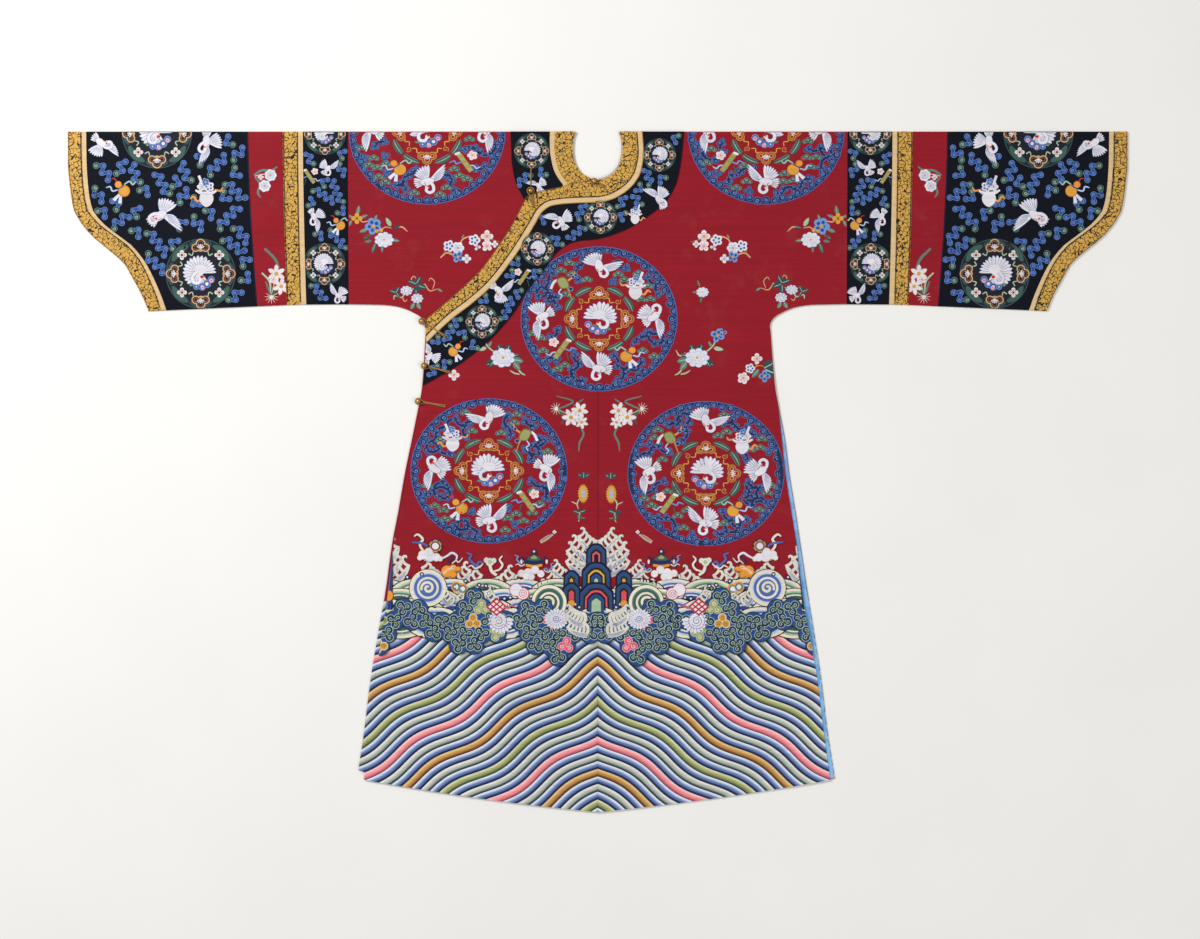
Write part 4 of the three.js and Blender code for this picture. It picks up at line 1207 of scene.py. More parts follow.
class Pen:
    """Draws into an ornament from its own place, size and turn."""

    def __init__(self, area, frame=((1, 0, 0), (0, 1, 0)), layer=0, parent=None):
        self.sheet, self.frame, self.layer = area, np.asarray(frame, float), layer
        self.parent = parent

    def at(self, x=0.0, down=0.0, size=1.0, turn=0.0, flip=False, layer=None):
        """A pen with its own place, size and turn on this one's frame."""
        wide, high = size if isinstance(size, tuple) else (size, size)
        cos, sin = towards(turn)
        mirror = -1 if flip else 1
        own = [
            [cos * wide * mirror, -sin * high, x],
            [sin * wide * mirror, cos * high, down],
            [0, 0, 1],
        ]
        return Pen(self.sheet, self.frame @ np.array(own), self.layer if layer is None else layer, self)

    def done(self):
        """Lifts the pen that this one came from above the layers drawn here."""
        self.parent.layer = max(self.parent.layer, self.layer)

    def world(self, points):
        return np.asarray(points, float) @ self.frame[:, :2].T + self.frame[:, 2]

    def fill(self, points, tint, steps=4):
        """A smooth closed shape; steps of 0 keeps its corners."""
        outline = self.world(soften(points, steps) if steps else points)
        low, high = outline.min(0), outline.max(0)
        if max(high - low) < SMALL_SHAPE:
            faces = tessellate_polygon([[Vector((x, down, 0)) for x, down in outline]])
            self.sheet.add(outline, faces, tint, self.layer)
        else:
            across = np.arange(low[0] + GRID_STEP / 2, high[0], GRID_STEP)
            along = np.arange(low[1] + GRID_STEP / 2, high[1], GRID_STEP)
            grid = np.stack(np.meshgrid(across, along), -1).reshape(-1, 2)
            border = [(at, (at + 1) % len(outline)) for at in range(len(outline))]
            places = [Vector(place) for place in np.vstack([outline, grid])]
            made = delaunay_2d_cdt(places, border, [], 1, 0.0001)
            self.sheet.add(np.array([tuple(place) for place in made[0]]), made[2], tint, self.layer)
        self.layer += 1

    def disc(self, x, down, radius, tint, sides=12):
        wide, high = radius if isinstance(radius, tuple) else (radius, radius)
        angles = np.linspace(0, 2 * math.pi, sides, endpoint=False)
        rim = np.stack([x + wide * np.cos(angles), down + high * np.sin(angles)], 1)
        places = self.world(np.vstack([[x, down], rim]))
        if np.ptp(places[:, 0]) > SMALL_SHAPE:
            self.fill(rim, tint, 0)
            return
        faces = [(0, 1 + at, 1 + (at + 1) % sides) for at in range(sides)]
        self.sheet.add(places, faces, tint, self.layer)
        self.layer += 1

    def lobes(self, places, insets, tints, sides=12):
        """Discs that join: one colour for all, then the next colour a little smaller."""
        for inset, tint in zip(insets, tints):
            for x, down, radius in places:
                if radius > inset:
                    self.at(layer=self.layer).disc(x, down, radius - inset, tint, sides)
            self.layer += 1

    def stroke(self, points, width, tint, taper=(1.0, 1.0), steps=4):
        """A ribbon along a smooth line. taper gives the width's share at the start and end."""
        line = soften(points, steps, False) if steps else np.asarray(points, float)
        share = np.linspace(0, 1, len(line))
        ends = np.where(share < 0.5, taper[0], taper[1])
        half = width / 2 * (ends + (1 - ends) * (1 - abs(2 * share - 1) ** 2.0))
        beside = -sideways(line) * half[:, None]
        count = len(line)
        faces = [(at, at + 1, count + at + 1, count + at) for at in range(count - 1)]
        self.sheet.add(self.world(np.vstack([line + beside, line - beside])), faces, tint, self.layer)
        self.layer += 1

    def rimmed(self, points, width, rim_width, rim, tint, taper=(1.0, 1.0), steps=4):
        """A ribbon on a wider one of another colour."""
        self.stroke(points, rim_width, rim, taper, steps)
        self.stroke(points, width, tint, taper, steps)

    def ring(self, radius, width, tint, start=0, end=360, taper=(1.0, 1.0), x=0, down=0):
        count = max(6, int(abs(end - start) / 360 * (18 + radius / 3)))
        angles = np.radians(np.linspace(start, end, count + 1))
        line = np.stack([x + radius * np.cos(angles), down + radius * np.sin(angles)], 1)
        self.stroke(line, width, tint, taper, steps=0)


print("grid step of large fills in mm:", GRID_STEP)

# %% [markdown]
# ## The thread finish
# Every flat shape has one finish. It takes the shape's colour, lets it vary a little as dyed silk
# does, and rules it with the fine ribs of tapestry weave.

# %% Material: tapestry threads
tapestry_silk, tree, shader, vector = start_material("tapestry_silk", 0.56, 0.08, 0.0, 0.25)
thread_colour = node(tree, "ShaderNodeAttribute", {"attribute_name": "thread"}).outputs["Color"]
weave(tree, shader, vector, thread_colour, 0.22, 0.0012, 0.0001)
print("finish made:", tapestry_silk.name)

# %% [markdown]
# ## Clouds
# A cloud is a cluster of round lobes with one pale outline round them all and a small coil in each.
# On the red ground clusters are scattered by chance, never closer than a set distance and clear of
# the birds and emblems, and linked to their neighbours. On navy the curls run in zigzag chains.

# %% Clouds
CLOUD_TINTS = {
    "deep": ("steel", "deep", "sky"),
    "green": ("leaf", "teal", "mint"),
    "navy": ("sky", "blue", "sky"),
}


GREEN_LOBES = [(-1.1, 0.2, 0.8), (1.1, 0.2, 0.8), (0, -0.3, 1.0)]


def spiral(radius, turns=1.3, first=0.0, count=13):
    angles = np.radians(first) + np.linspace(0, turns * 2 * math.pi, count)
    return (radius * np.linspace(1, 0.12, count) * np.stack([np.cos(angles), np.sin(angles)])).T


def cloud(pen, places, ways, kind, edge, width=0.0):
    """places are rows of x, down, radius; ways are the stems between them."""
    rim, body, line = CLOUD_TINTS[kind]
    first = pen.layer
    for step, (inset, tint) in enumerate(((0, rim), (edge, body))):
        pen.at(layer=first + step).lobes(places, [inset], [tint], 11)
        for way in ways:
            pen.at(layer=first + step).stroke(way, width + 2 * (edge - inset), tint, steps=3)
    for number, (x, down, radius) in enumerate(places):
        coil = spiral((radius - edge) * 0.66, 1.25, number * 77) + (x, down)
        pen.at(layer=first + 2).stroke(coil, max(0.8, radius * 0.17), line, (0.8, 1), steps=0)
    pen.layer = first + 3


def scatter(draw, box, spacing, keep):
    """Places by chance in a box, kept apart, where keep(place) is true."""
    low_x, high_x, low_down, high_down = box
    made = []
    tries = int((high_x - low_x) * (high_down - low_down) / spacing**2 * 22)
    for _ in range(tries):
        place = np.array([draw.uniform(low_x, high_x), draw.uniform(low_down, high_down)])
        if made and np.min(np.hypot(*(np.array(made) - place).T)) < spacing:
            continue
        if keep(place):
            made.append(place)
    return made


def cloud_field(pen, keep, obstacles, box, spacing, radius, seed, rim):
    """Clouds over a ground, clear of round obstacles (x, down, radius), joined to a rim of lobes."""
    draw = random.Random(seed)

    def clear(place):
        beside = all(math.dist(place, (x, down)) > reach + radius for x, down, reach in obstacles)
        return beside and keep(place)

    places, ways, blues, greens = list(rim), [], [], []
    for number, spot in enumerate(scatter(draw, box, spacing, clear)):
        turn = draw.uniform(0, 360)
        if number % 3 == 1:
            greens.append([(*(spot + np.array(step) * radius), size * radius) for *step, size in GREEN_LOBES])
            continue
        for at, size in ((0, 1.0), (120, 0.88), (240, 0.8)):
            lobe = spot + towards(turn + at, radius * 0.86)
            places.append((*lobe, radius * size))
        near = [other for other in blues if math.dist(other, spot) < spacing * 1.75]
        for other in sorted(near, key=lambda place: math.dist(place, spot))[:2]:
            middle = (spot + other) / 2
            aside = np.array([other[1] - spot[1], spot[0] - other[0]]) * draw.choice((-0.22, 0.22))
            ways.append([spot, middle + aside, other])
        blues.append(spot)
    cloud(pen, places, ways, "deep", radius * 0.25, radius * 0.8)
    for lobes in greens:
        cloud(pen.at(), lobes, (), "green", radius * 0.25)
    pen.layer += 3
    print(pen.sheet.name, "clouds:", len(blues) + len(greens))


def cloud_chains(pen, keep, obstacles, box, radius, seed):
    """Zigzag chains of curls with a green curl at one end, clear of round obstacles."""
    draw = random.Random(seed)

    def clear(place):
        beside = all(math.dist(place, (x, down)) > reach + radius * 0.7 for x, down, reach in obstacles)
        return beside and keep(place)

    taken, chains = [], []
    for spot in scatter(draw, box, radius * 1.6, clear):
        lean = draw.choice((-58, -40, 42, 64, 118)) + draw.uniform(-10, 10)
        ahead, aside = towards(lean, radius * 1.5), towards(lean + 90, radius * 0.85)
        chain = []
        for at in range(-3, 4):
            curl = spot + ahead * at + aside * (1 if at % 2 else -1)
            if clear(curl) and all(math.dist(curl, other) > radius * 2.2 for other in taken):
                chain.append(curl)
            elif chain:
                break
        if len(chain) > 2:
            chains.append(chain)
            taken.extend(chain)
    blues = [(*curl, radius) for chain in chains for curl in chain[:-1]]
    cloud(pen, blues, chains, "navy", 0.8, radius * 0.9)
    cloud(pen, [(*chain[-1], radius * 1.1) for chain in chains], (), "green", 1.0)
    print(pen.sheet.name, "chains of cloud:", len(chains))


# %% [markdown]
# ## Cranes
# A crane is put together as it grows: fans of feathers for two wings and the tail, an oval body and a
# neck that curls round. Only the directions of its parts change from bird to bird. A curled crane
# fills the middle of each roundel, over a small bunch of flowers.

# %% Cranes
def feathers(pen, root, turn, spread, reach, count, last, bend=0.0, edge="steel"):
    """A fan of feathers; last is the last one's length as a share of the first one's."""
    first = pen.layer
    width = reach * math.radians(abs(spread)) / count + 1.6
    for at in range(count):
        share = at / (count - 1)
        angle = turn + spread * (share - 0.5)
        length = reach * (1 + (last - 1) * share)
        middle = np.add(root, towards(angle, length * 0.6)) + towards(angle + 90, bend)
        line = [root, middle, np.add(root, towards(angle, length))]
        pen.at(layer=first).stroke(line, width + 1.1, edge, (0.4, 0.3), 3)
        pen.at(layer=first + 1).stroke(line, width, "white", (0.4, 0.16), 3)
        between = angle + spread / (count - 1) / 2
        vein = [np.add(root, towards(between, length * part)) for part in (0.3, 0.6, 0.86)]
        pen.at(layer=first + 2).stroke(vein, 0.9, edge, (0.6, 0.6), 2)
    pen.layer = first + 3


def flying_crane(pen, x, down, size, wing, fan, tail, neck, side):
    """wing, fan, tail and neck are directions in degrees; side is the neck's turning side."""
    own = pen.at(x, down, size)
    feathers(own, towards(tail, 8), tail, 56, 25, 5, 0.9, edge="deep")
    feathers(own, towards(fan, 3), fan, 66, 37, 7, 0.86)
    feathers(own, towards(wing, 3), wing, 36 * side, 52, 7, 0.5)
    along = own.at(turn=tail)
    along.disc(2, 0, (16.5, 9.5), "steel", 16)
    along.disc(2, 0, (15.6, 8.6), "white", 16)
    bend = along.at(turn=neck - tail, size=(1, side))
    curve = [(6, -2), (16, 1), (23, 9), (20, 18), (11, 19), (7, 13)]
    bend.rimmed(curve, 6.4, 7.6, "steel", "white", (1.0, 0.8))
    bend.disc(7, 12, 4.4, "white", 10)
    bend.disc(8.6, 9.2, (3.2, 2.4), "coral", 8)
    bend.disc(6.4, 12, 0.9, "ink", 6)
    bend.stroke([(4, 11), (-1, 8), (-6, 7)], 1.8, "ochre", (1, 0.2), 2)
    pen.layer = max(pen.layer, bend.layer)


def curled_crane(pen, size, fans=((-140, 80), (-40, 110))):
    """A crane that curls round inside a circle of 37 mm, at the pen's own place."""
    own = pen.at(size=size)
    for turn, spread in fans:
        feathers(own, (3, -3), turn, spread, 35, max(6, int(abs(spread) / 13)), 0.94, 2.0)
    own.disc(0, -9, (13, 10), "white", 16)
    bunch = [(-13, 21, 8.5), (-22, 12, 7.5), (-3, 27, 8), (9, 27, 6.5)]
    own.lobes(bunch, (0, 1.2, 5), ("sky", "steel", "white"))
    own.lobes([(-22, 14, 4.5), (-4, 29, 4)], (0, 2.4), ("pink", "rose"), 8)
    own.disc(18, 22, (7, 3), "leaf", 8)
    curve = [(8, -4), (17, 6), (15, 17), (5, 19), (0, 12)]
    own.rimmed(curve, 6.6, 8.0, "steel", "white", (1.0, 0.8))
    own.disc(-1, 10, 4.8, "white", 10)
    own.disc(-3, 6.4, (4.2, 3.2), "red", 8)
    own.disc(-2, 10.6, 0.9, "ink", 6)
    own.stroke([(-4, 12), (-9, 14), (-14, 13)], 1.8, "ochre", (1, 0.3), 2)
    own.done()


print("cranes and clouds are ready")

# %% [markdown]
# ## Flowers and leaves
# Petals are small lobes round a middle, with a darker colour inside a lighter one. The narcissus has
# pointed petals, and a root is a tuft of fine threads.

# %% Flowers
PETAL_TINTS = {
    "white": ("white", "pale", "gold"),
    "blue": ("sky", "blue", "gold"),
    "yellow": ("gold", "orange", "brown"),
    "pink": ("white", "pink", "gold"),
    "mauve": ("white", "steel", "white"),
    "corner": ("white", "peach", "ink"),
}


def blossom(pen, x, down, radius, tints="white", petals=5, turn=0.0):
    own = pen.at(x, down, 1.0, turn)
    outer, inner, heart = PETAL_TINTS[tints]
    for tint, reach, wide in ((outer, 0.62, 0.44), (inner, 0.5, 0.22)):
        ring = [(*towards(360 * at / petals, radius * reach), radius * wide) for at in range(petals)]
        own.lobes(ring, (0,), (tint,), 9)
    own.disc(0, 0, radius * 0.22, heart, 8)
    own.done()


def peony(pen, x, down, radius, tints="white"):
    """A full flower of three rings of petals with dark lines between them."""
    own = pen.at(x, down, (1.0, 0.8))
    outer, inner, heart = PETAL_TINTS[tints]
    for petals, reach, wide, turn in ((9, 0.72, 0.3, 0), (7, 0.44, 0.27, 20), (5, 0.2, 0.2, 8)):
        ring = [(*towards(turn + 360 * at / petals, radius * reach), radius * wide) for at in range(petals)]
        own.lobes(ring, (0, radius * 0.06), (inner, outer), 10)
    own.disc(0, 0, radius * 0.14, heart, 8)
    own.done()


def narcissus_flower(pen, x, down, radius, turn):
    own = pen.at(x, down)
    first = own.layer
    for at in range(6):
        petal = [towards(turn + at * 60, radius * reach) for reach in (0.1, 0.6, 1.0)]
        own.at(layer=first).stroke(petal, radius * 0.52, "peach", (0.6, 0.12), 3)
        own.at(layer=first + 1).stroke(petal, radius * 0.42, "white", (0.6, 0.12), 3)
    own.layer = first + 2
    own.disc(0, 0, radius * 0.24, "gold", 8)
    own.done()


def spiky_flower(pen, x, down, radius):
    """A long flower in side view: short pointed petals all round a grey middle."""
    own = pen.at(x, down, (0.56, 1.0))
    for at in range(20):
        tip = towards(at * 18, radius)
        own.at(layer=own.layer).stroke([tip * 0.3, tip * 0.7, tip], radius * 0.3, "gold", (1, 0.1), 1)
    own.layer += 1
    own.disc(0, 0, (radius * 0.36, radius * 0.5), "grey", 12)
    own.done()


def root_tuft(pen, x, down, radius, turn):
    own = pen.at(x, down, 1.0, turn)
    for at in range(9):
        own.at(layer=own.layer).stroke([(0, 0), towards(at * 31 - 124, radius)], 1.6, "cream", (1, 0.3), 1)
    own.layer += 1
    own.disc(0, 0, radius * 0.3, "white", 8)
    own.done()


def leaf(pen, x, down, length, turn, tint="leaf", width=0.42):
    own = pen.at(x, down, length, turn)
    half = width / 2
    own.fill([(0, 0), (0.3, -half), (0.7, -half * 0.8), (1, 0), (0.7, half * 0.8), (0.3, half)], tint, 3)
    own.stroke([(0.05, 0), (0.5, 0.02), (0.92, 0)], width * 0.13, "mint", (1, 0.2), 2)
    own.done()


BLOOMS = {"peony": peony, "narcissus": narcissus_flower, "spiky": spiky_flower, "root": root_tuft}


print("kinds of flower:", ["blossom", *BLOOMS])


# %% [markdown]
# ## Sprigs
# A sprig is a few stems, leaves and flowers, kept as short tables. A stem's row is its thread, its
# width and its marks; a leaf's is its foot, length, turn, thread and width; a flower's is its kind or
# colour, its place and its size.

# %% Sprigs
def sprig(pen, x, down, table, flip):
    own = pen.at(x, down, flip=flip)
    for tint, width, *points in table.get("stems", []):
        own.stroke(points, width, tint, (0.8, 0.4))
    for row in table.get("leaves", []):
        leaf(own, *row)
    for kind, *row in table["flowers"]:
        BLOOMS.get(kind, blossom)(own, *row)
    own.done()


SHOULDER_SPRIG = {
    "stems": [
        ("peach", 2.6, (-44, -22), (-33, -11), (-20, -12), (-8, -4)),
        ("peach", 2.4, (4, 8), (14, 0), (28, 2)), ("peach", 3.0, (40, 0), (50, 0), (60, 9)),
    ],
    "leaves": [
        (-43, -26, 19, -80), (-52, -20, 14, 200), (-36, -20, 15, -20), (-55, -14, 16, 120),
        (-8, -12, 15, -70), (-22, 4, 18, 160), (-16, 16, 16, 150, "green"), (26, -2, 20, -120, "mint"),
        (32, 2, 14, -20, "teal"), (-6, 34, 20, 110, "green"), (8, 40, 12, 90), (28, 26, 16, 10),
        (-14, 28, 14, 170),
    ],
    "flowers": [
        ("yellow", -44, -18, 11, "yellow", 4), ("blue", -10, -2, 17, "blue", 5, 30),
        ("yellow", 2, 10, 9, "yellow", 3, 200), ("peony", 12, 26, 20),
    ],
}
PLUM_SPRIG = {
    "stems": [
        ("peach", 3.2, (-60, 28), (-48, 18), (-34, 22), (-28, 26)),
        ("ochre", 2.0, (-50, 20), (-52, 12)), ("peach", 2.8, (-20, 4), (-14, -10), (2, -16), (22, -14)),
        ("ochre", 1.8, (20, -12), (42, -10), (64, -4)),
    ],
    "leaves": [(-16, -12, 9, -60), (36, -8, 9, 60, "teal"), (-28, 20, 10, 30, "teal")],
    "flowers": [
        ("white", -24, 8, 12.5, "white", 6), ("mauve", -42, 4, 12, "mauve", 5),
        ("blue", -24, 26, 12, "blue", 4, 30), ("mauve", -6, 30, 9, "white", 4),
        ("green", 10, -8, 12, "mauve", 5), ("pink", 36, -16, 12.5, "pink", 4),
        ("pink", 36, 4, 11, "pink", 4, 40), ("mauve", 16, 6, 7, "white", 3),
        ("mauve", 52, 0, 7, "white", 4),
    ],
}
VINE_SPRIG = {
    "stems": [
        ("mint", 2.6, (-46, 18), (-44, 10), (-30, 14), (-22, 4), (-14, 0)),
        ("mint", 2.2, (-14, 0), (2, -8), (18, -14)),
        ("peach", 2.0, (-2, -14), (-10, -24), (-4, -30), (0, -24)),
        ("peach", 2.2, (18, -14), (28, 0), (44, -4)),
        ("peach", 1.8, (34, -4), (38, -18), (30, -26), (26, -20)),
        ("peach", 2.0, (-28, 14), (-24, 22), (-18, 18)),
    ],
    "leaves": [
        (0, -14, 18, -160, "teal", 0.6), (0, -14, 18, -60, "teal", 0.6), (2, -12, 20, 20, "teal", 0.6),
        (0, -10, 18, 90, "teal", 0.6), (-42, 4, 14, 200, "teal", 0.6), (-42, 4, 14, -60, "teal", 0.6),
        (-40, 4, 12, 60, "teal", 0.6), (2, 26, 14, 60, "leaf", 0.6), (-4, 26, 14, 120, "leaf", 0.6),
        (44, -4, 12, 30),
    ],
    "flowers": [("peony", -20, 0, 13, "mauve"), ("peony", 2, 16, 13, "mauve")],
}
PEONY_SPRIG = {
    "stems": [
        ("mint", 3.0, (16, -10), (32, -24), (40, -40)), ("mint", 3.4, (-26, 14), (-36, 30), (-46, 36)),
        ("mint", 3.2, (-34, 34), (-24, 32), (-14, 26)),
        ("mint", 3.0, (-24, -10), (-36, -4), (-44, -16)),
    ],
    "leaves": [
        (-6, -6, 22, -110, "teal", 0.7), (0, -8, 22, -60, "teal", 0.7), (-14, 0, 20, -160, "teal", 0.6),
        (-20, 4, 22, 170, "leaf", 0.6), (-22, 10, 20, 130, "leaf", 0.6), (14, 4, 24, 30, "teal", 0.6),
        (16, 0, 22, 60, "teal", 0.6), (34, -20, 20, 10, "mint"), (30, -22, 14, -120, "leaf"),
    ],
    "flowers": [
        ("peony", 0, 0, 25, "white"), ("blue", 42, -46, 14, "blue", 4, 20),
        ("blue", 52, -52, 9, "blue", 3),
    ],
}
EDGE_SPRIG = {
    "stems": [
        ("ochre", 2.2, (-24, 6), (-12, -4), (0, -10), (22, -2)), ("orange", 2.0, (-6, -8), (-10, -16)),
        ("orange", 2.0, (14, 2), (12, 10)),
    ],
    "leaves": [(8, -4, 26, -30, "teal", 0.8), (10, -2, 28, 20, "teal", 0.8), (-2, -2, 22, 130, "leaf")],
    "flowers": [
        ("pink", -34, 16, 12, "pink", 5), ("mauve", -20, -4, 10, "mauve", 5),
        ("pink", -6, -24, 11, "pink", 4), ("blue", 10, 12, 12, "blue", 4),
    ],
}
LONE_FLOWER = {
    "leaves": [(-6, -12, 14, -110, "green"), (-2, 10, 12, 100, "green"), (-12, 0, 9, 180)],
    "flowers": [("peony", 0, 0, 13)],
}
NARCISSUS_SPRIG = {
    "stems": [
        ("leaf", 3.6, (-24, -8), (-8, -14), (6, -24), (-28, -34)),
        ("leaf", 4.4, (-22, -6), (-10, 12), (10, 26)), ("green", 4.0, (-20, -4), (-14, 14), (-18, 24)),
        ("leaf", 4.2, (20, 26), (28, 44), (20, 62), (18, 80)),
        ("mint", 1.8, (-24, -6), (-4, 4), (18, 14)), ("leaf", 3.0, (8, -14), (22, -24), (28, -28)),
    ],
    "flowers": [
        ("root", -28, -8, 13, 180), ("narcissus", 20, -4, 18, -50), ("narcissus", 2, 10, 19, 60),
        ("narcissus", 24, 20, 14, 20),
    ],
}
SUN_SPRIG = {
    "stems": [
        ("mint", 2.6, (-6, 8), (-12, 20), (-10, 32)), ("mint", 2.2, (-12, 22), (-24, 16)),
        ("mint", 2.6, (-8, 38), (-6, 48), (-10, 58)),
    ],
    "leaves": [
        (0, -34, 12, -150, "teal", 0.8), (2, -34, 12, -30, "teal", 0.8), (1, -32, 13, -90, "teal", 0.8),
        (-8, 40, 13, 200, "teal", 0.7), (-6, 38, 13, -20, "teal", 0.7), (-8, 42, 12, 90, "green", 0.7),
        (-4, 50, 9, 0, "green"),
    ],
    "flowers": [("spiky", 0, 0, 20)],
}
BEAN_SPRIG = {
    "stems": [
        ("grey", 8, (-14, 9), (0, 0), (12, -7)), ("peach", 5, (-14, 9), (0, 0), (10, -6)),
        ("brown", 2, (-12, 7), (0, -1), (10, -8)), ("brown", 1.6, (-10, 11), (2, 4), (11, -4)),
    ],
    "flowers": [("white", 15, -12, 4, "white", 4)],
}
SECTION_UPPER = {
    "stems": [
        ("leaf", 5.0, (-22, 2), (-6, -8), (14, -8), (26, -16)),
        ("leaf", 4.6, (-20, 6), (-10, 20), (-14, 38), (-8, 48)),
        ("pink", 2.2, (-20, 4), (-4, 0), (10, 2)),
    ],
    "flowers": [
        ("pink", 12, 2, 12, "white", 7), ("pink", 0, 24, 12, "white", 7), ("pink", -8, 6, 6, "pink", 4),
    ],
}
SECTION_LOWER = {
    "stems": [
        ("leaf", 5.6, (-14, -64), (6, -44), (16, -24)), ("mint", 4.0, (-20, -14), (-4, 4), (-2, 30)),
        ("leaf", 3.8, (-12, 4), (-6, 20), (-2, 32)), ("green", 3.8, (0, 34), (12, 16), (22, 8)),
        ("leaf", 3.6, (0, 34), (16, 26), (28, 24)), ("mint", 2.0, (0, 30), (8, 0), (16, -20)),
    ],
    "flowers": [
        ("root", 0, 36, 14, 90), ("narcissus", 10, -12, 19, -150), ("narcissus", 20, 14, 18, -20),
        ("pink", 4, 0, 9, "pink", 5),
    ],
}
print("sprigs are ready")

# %% [markdown]
# ## Emblems with ribbons
# Small lucky things float among the clouds: a gourd, a vase of flowers, a flute case, a folded
# scroll. Each is tied with waving ribbons.

# %% Emblems
def ribbon(pen, points, tint="pale", width=2.8):
    pen.rimmed(points, width, width + 0.9, "steel", tint, (0.7, 0.5))


def gourd(pen, x, down, size):
    own = pen.at(x, down, size)
    ribbon(own, [(-4, -8), (-14, -14), (-20, -8), (-26, -14)], "mint")
    ribbon(own, [(8, 2), (18, 4), (22, -4), (30, -2)], "pale")
    for tip in ((4, 28), (16, 22)):
        own.stroke([(2, 8), tip], 8.0, "steel", (0.6, 1.0), 1)
        own.stroke([(2, 8), np.multiply(tip, 0.97)], 6.6, "white", (0.6, 1.0), 1)
    own.lobes([(-4, 4, 11.5), (7, -8, 7)], (0, 1.0, 5.0), ("brown", "orange", "gold"), 14)
    own.stroke([(10, -13), (14, -19), (20, -19)], 2.4, "red", (1, 0.5))
    own.stroke([(-4, -6), (3, -2), (8, 0)], 2.4, "blue", (0.6, 0.6))
    own.done()


def flower_vase(pen, x, down, size):
    own = pen.at(x, down, size)
    ribbon(own, [(8, 14), (16, 18), (22, 10), (28, 14)], "orange", 3.6)
    ribbon(own, [(-14, -2), (-24, 0), (-28, -6)], "orange", 3.0)
    own.fill([(-7, 4), (7, 4), (12, 12), (9, 22), (0, 28), (-9, 22), (-12, 12)], "white", 3)
    own.stroke([(-17, 0), (-8, 4), (8, 4), (19, -1)], 6.0, "white", (0.5, 0.5))
    own.stroke([(-15, 3), (0, 6), (16, 2)], 1.2, "grey", (0.5, 0.5))
    for place, tints in (((-4, -7, 9), "mauve"), ((8, -7, 8), "white"), ((2, -15, 7), "blue")):
        blossom(own, *place, tints)
    own.stroke([(8, -12), (13, -26)], 4.4, "white", (0.8, 1.0), 2)
    own.done()


def flute_case(pen, x, down, size):
    own = pen.at(x, down, size)
    ribbon(own, [(-8, 8), (-18, 8), (-24, 14), (-32, 10)], "pale")
    ribbon(own, [(6, 0), (16, 4), (20, -2), (30, 2)], "sky")
    own.rimmed([(-14, 20), (0, 0), (12, -18)], 9.5, 11.5, "brown", "olive", (1, 1), 2)
    for share in (-0.6, 0.0, 0.6):
        x, down = 12 * share, -18 * share
        own.stroke([(x - 5, down - 3), (x + 5, down + 3)], 3.2, "ochre", (1, 1), 1)
    own.stroke([(9, -20), (19, -16)], 5.0, "white", (1, 1), 1)
    blossom(own, -16, -14, 10, "pink", 5)
    own.stroke([(10, 8), (14, 26)], 2.2, "green", (1, 0.6), 1)
    own.done()


def scroll_case(pen, x, down, size):
    own = pen.at(x, down, size)
    own.stroke([(-8, -10), (-18, -2), (-24, 12)], 5.2, "white", (0.5, 1.0), 3)
    ribbon(own, [(-2, 10), (-8, 20), (-2, 26), (-6, 34)], "pale")
    own.fill([(-12, -10), (2, -15), (12, -2), (12, 10), (-2, 12), (-10, 2)], "brown", 3)
    own.fill([(-10, -8), (2, -12), (10, -1), (10, 8), (-2, 10), (-8, 2)], "olive", 3)
    own.stroke([(8, 8), (14, 22), (18, 36)], 2.8, "ochre", (1, 0.5), 2)
    own.stroke([(10, -6), (20, -14), (24, -26)], 4.0, "gold", (1, 0.4), 2)
    own.lobes([(16, 12, 5), (20, -14, 4), (26, -18, 4)], (0, 1.4), ("sky", "deep"), 8)
    own.done()


print("emblems are ready")

# %% [markdown]
# ## Roundels
# The navy roundels have a green ring, four heads of ruyi cloud with a small fan in each, flowers on
# the diagonals and a curled crane. The large roundels on the red ground have a chain of clouds as
# rim, four cranes, four emblems and an inner ring round a curled crane.

# %% Roundels
HEAD_LOBES = [(0, -7, 11), (-11, 2, 9.5), (11, 2, 9.5), (0, 3, 8)]


def ruyi_head(pen, angle, reach, tints):
    """A cloud head 40 mm wide on a circle, pointing away from the circle's middle."""
    own = pen.at(*towards(angle, reach), 0.95, angle + 90)
    own.lobes(HEAD_LOBES, (0, 2.6, 4.6, 6.4), tints, 14)
    for at in range(5):
        rib = [(0, 5), towards(-150 + at * 30, 9) + (0, 3)]
        own.at(layer=own.layer).stroke(rib, 3.0, "white", (0.3, 0.9), 1)
    own.layer += 1
    own.disc(0, 5.5, 2.6, tints[0], 8)
    own.done()


def navy_roundel(pen, x, down, radius):
    own = pen.at(x, down, radius / 74)
    own.disc(0, 0, 75, "ink", 48)
    for at in range(8):
        tint = "green" if at % 2 else "teal"
        own.at(layer=own.layer).ring(65, 15, tint, at * 45 - 21, at * 45 + 21, (0.35, 0.35))
    own.layer += 1
    own.ring(73, 1.2, "green")
    heads = own.at(layer=own.layer)
    for at in range(4):
        ruyi_head(own.at(layer=heads.layer), 90 * at, 57, ("peach", "ink", "brown", "ink"))
        blossom(own.at(layer=heads.layer), *towards(90 * at + 45, 56), 10, "corner", 4, 90 * at)
        for side in (-1, 1):
            lean = 90 * at + 45 + side * 14
            line = [towards(lean, 50), towards(lean + side * 6, 43), towards(lean + side * 13, 50)]
            own.at(layer=heads.layer).stroke(line, 2.4, "mint", (1, 0.6), 3)
    own.layer = heads.layer + 7
    own.disc(0, 0, 40, "ink", 36)
    curled_crane(own, 1.02, ((0, 230), (-150, 60)))
    own.done()


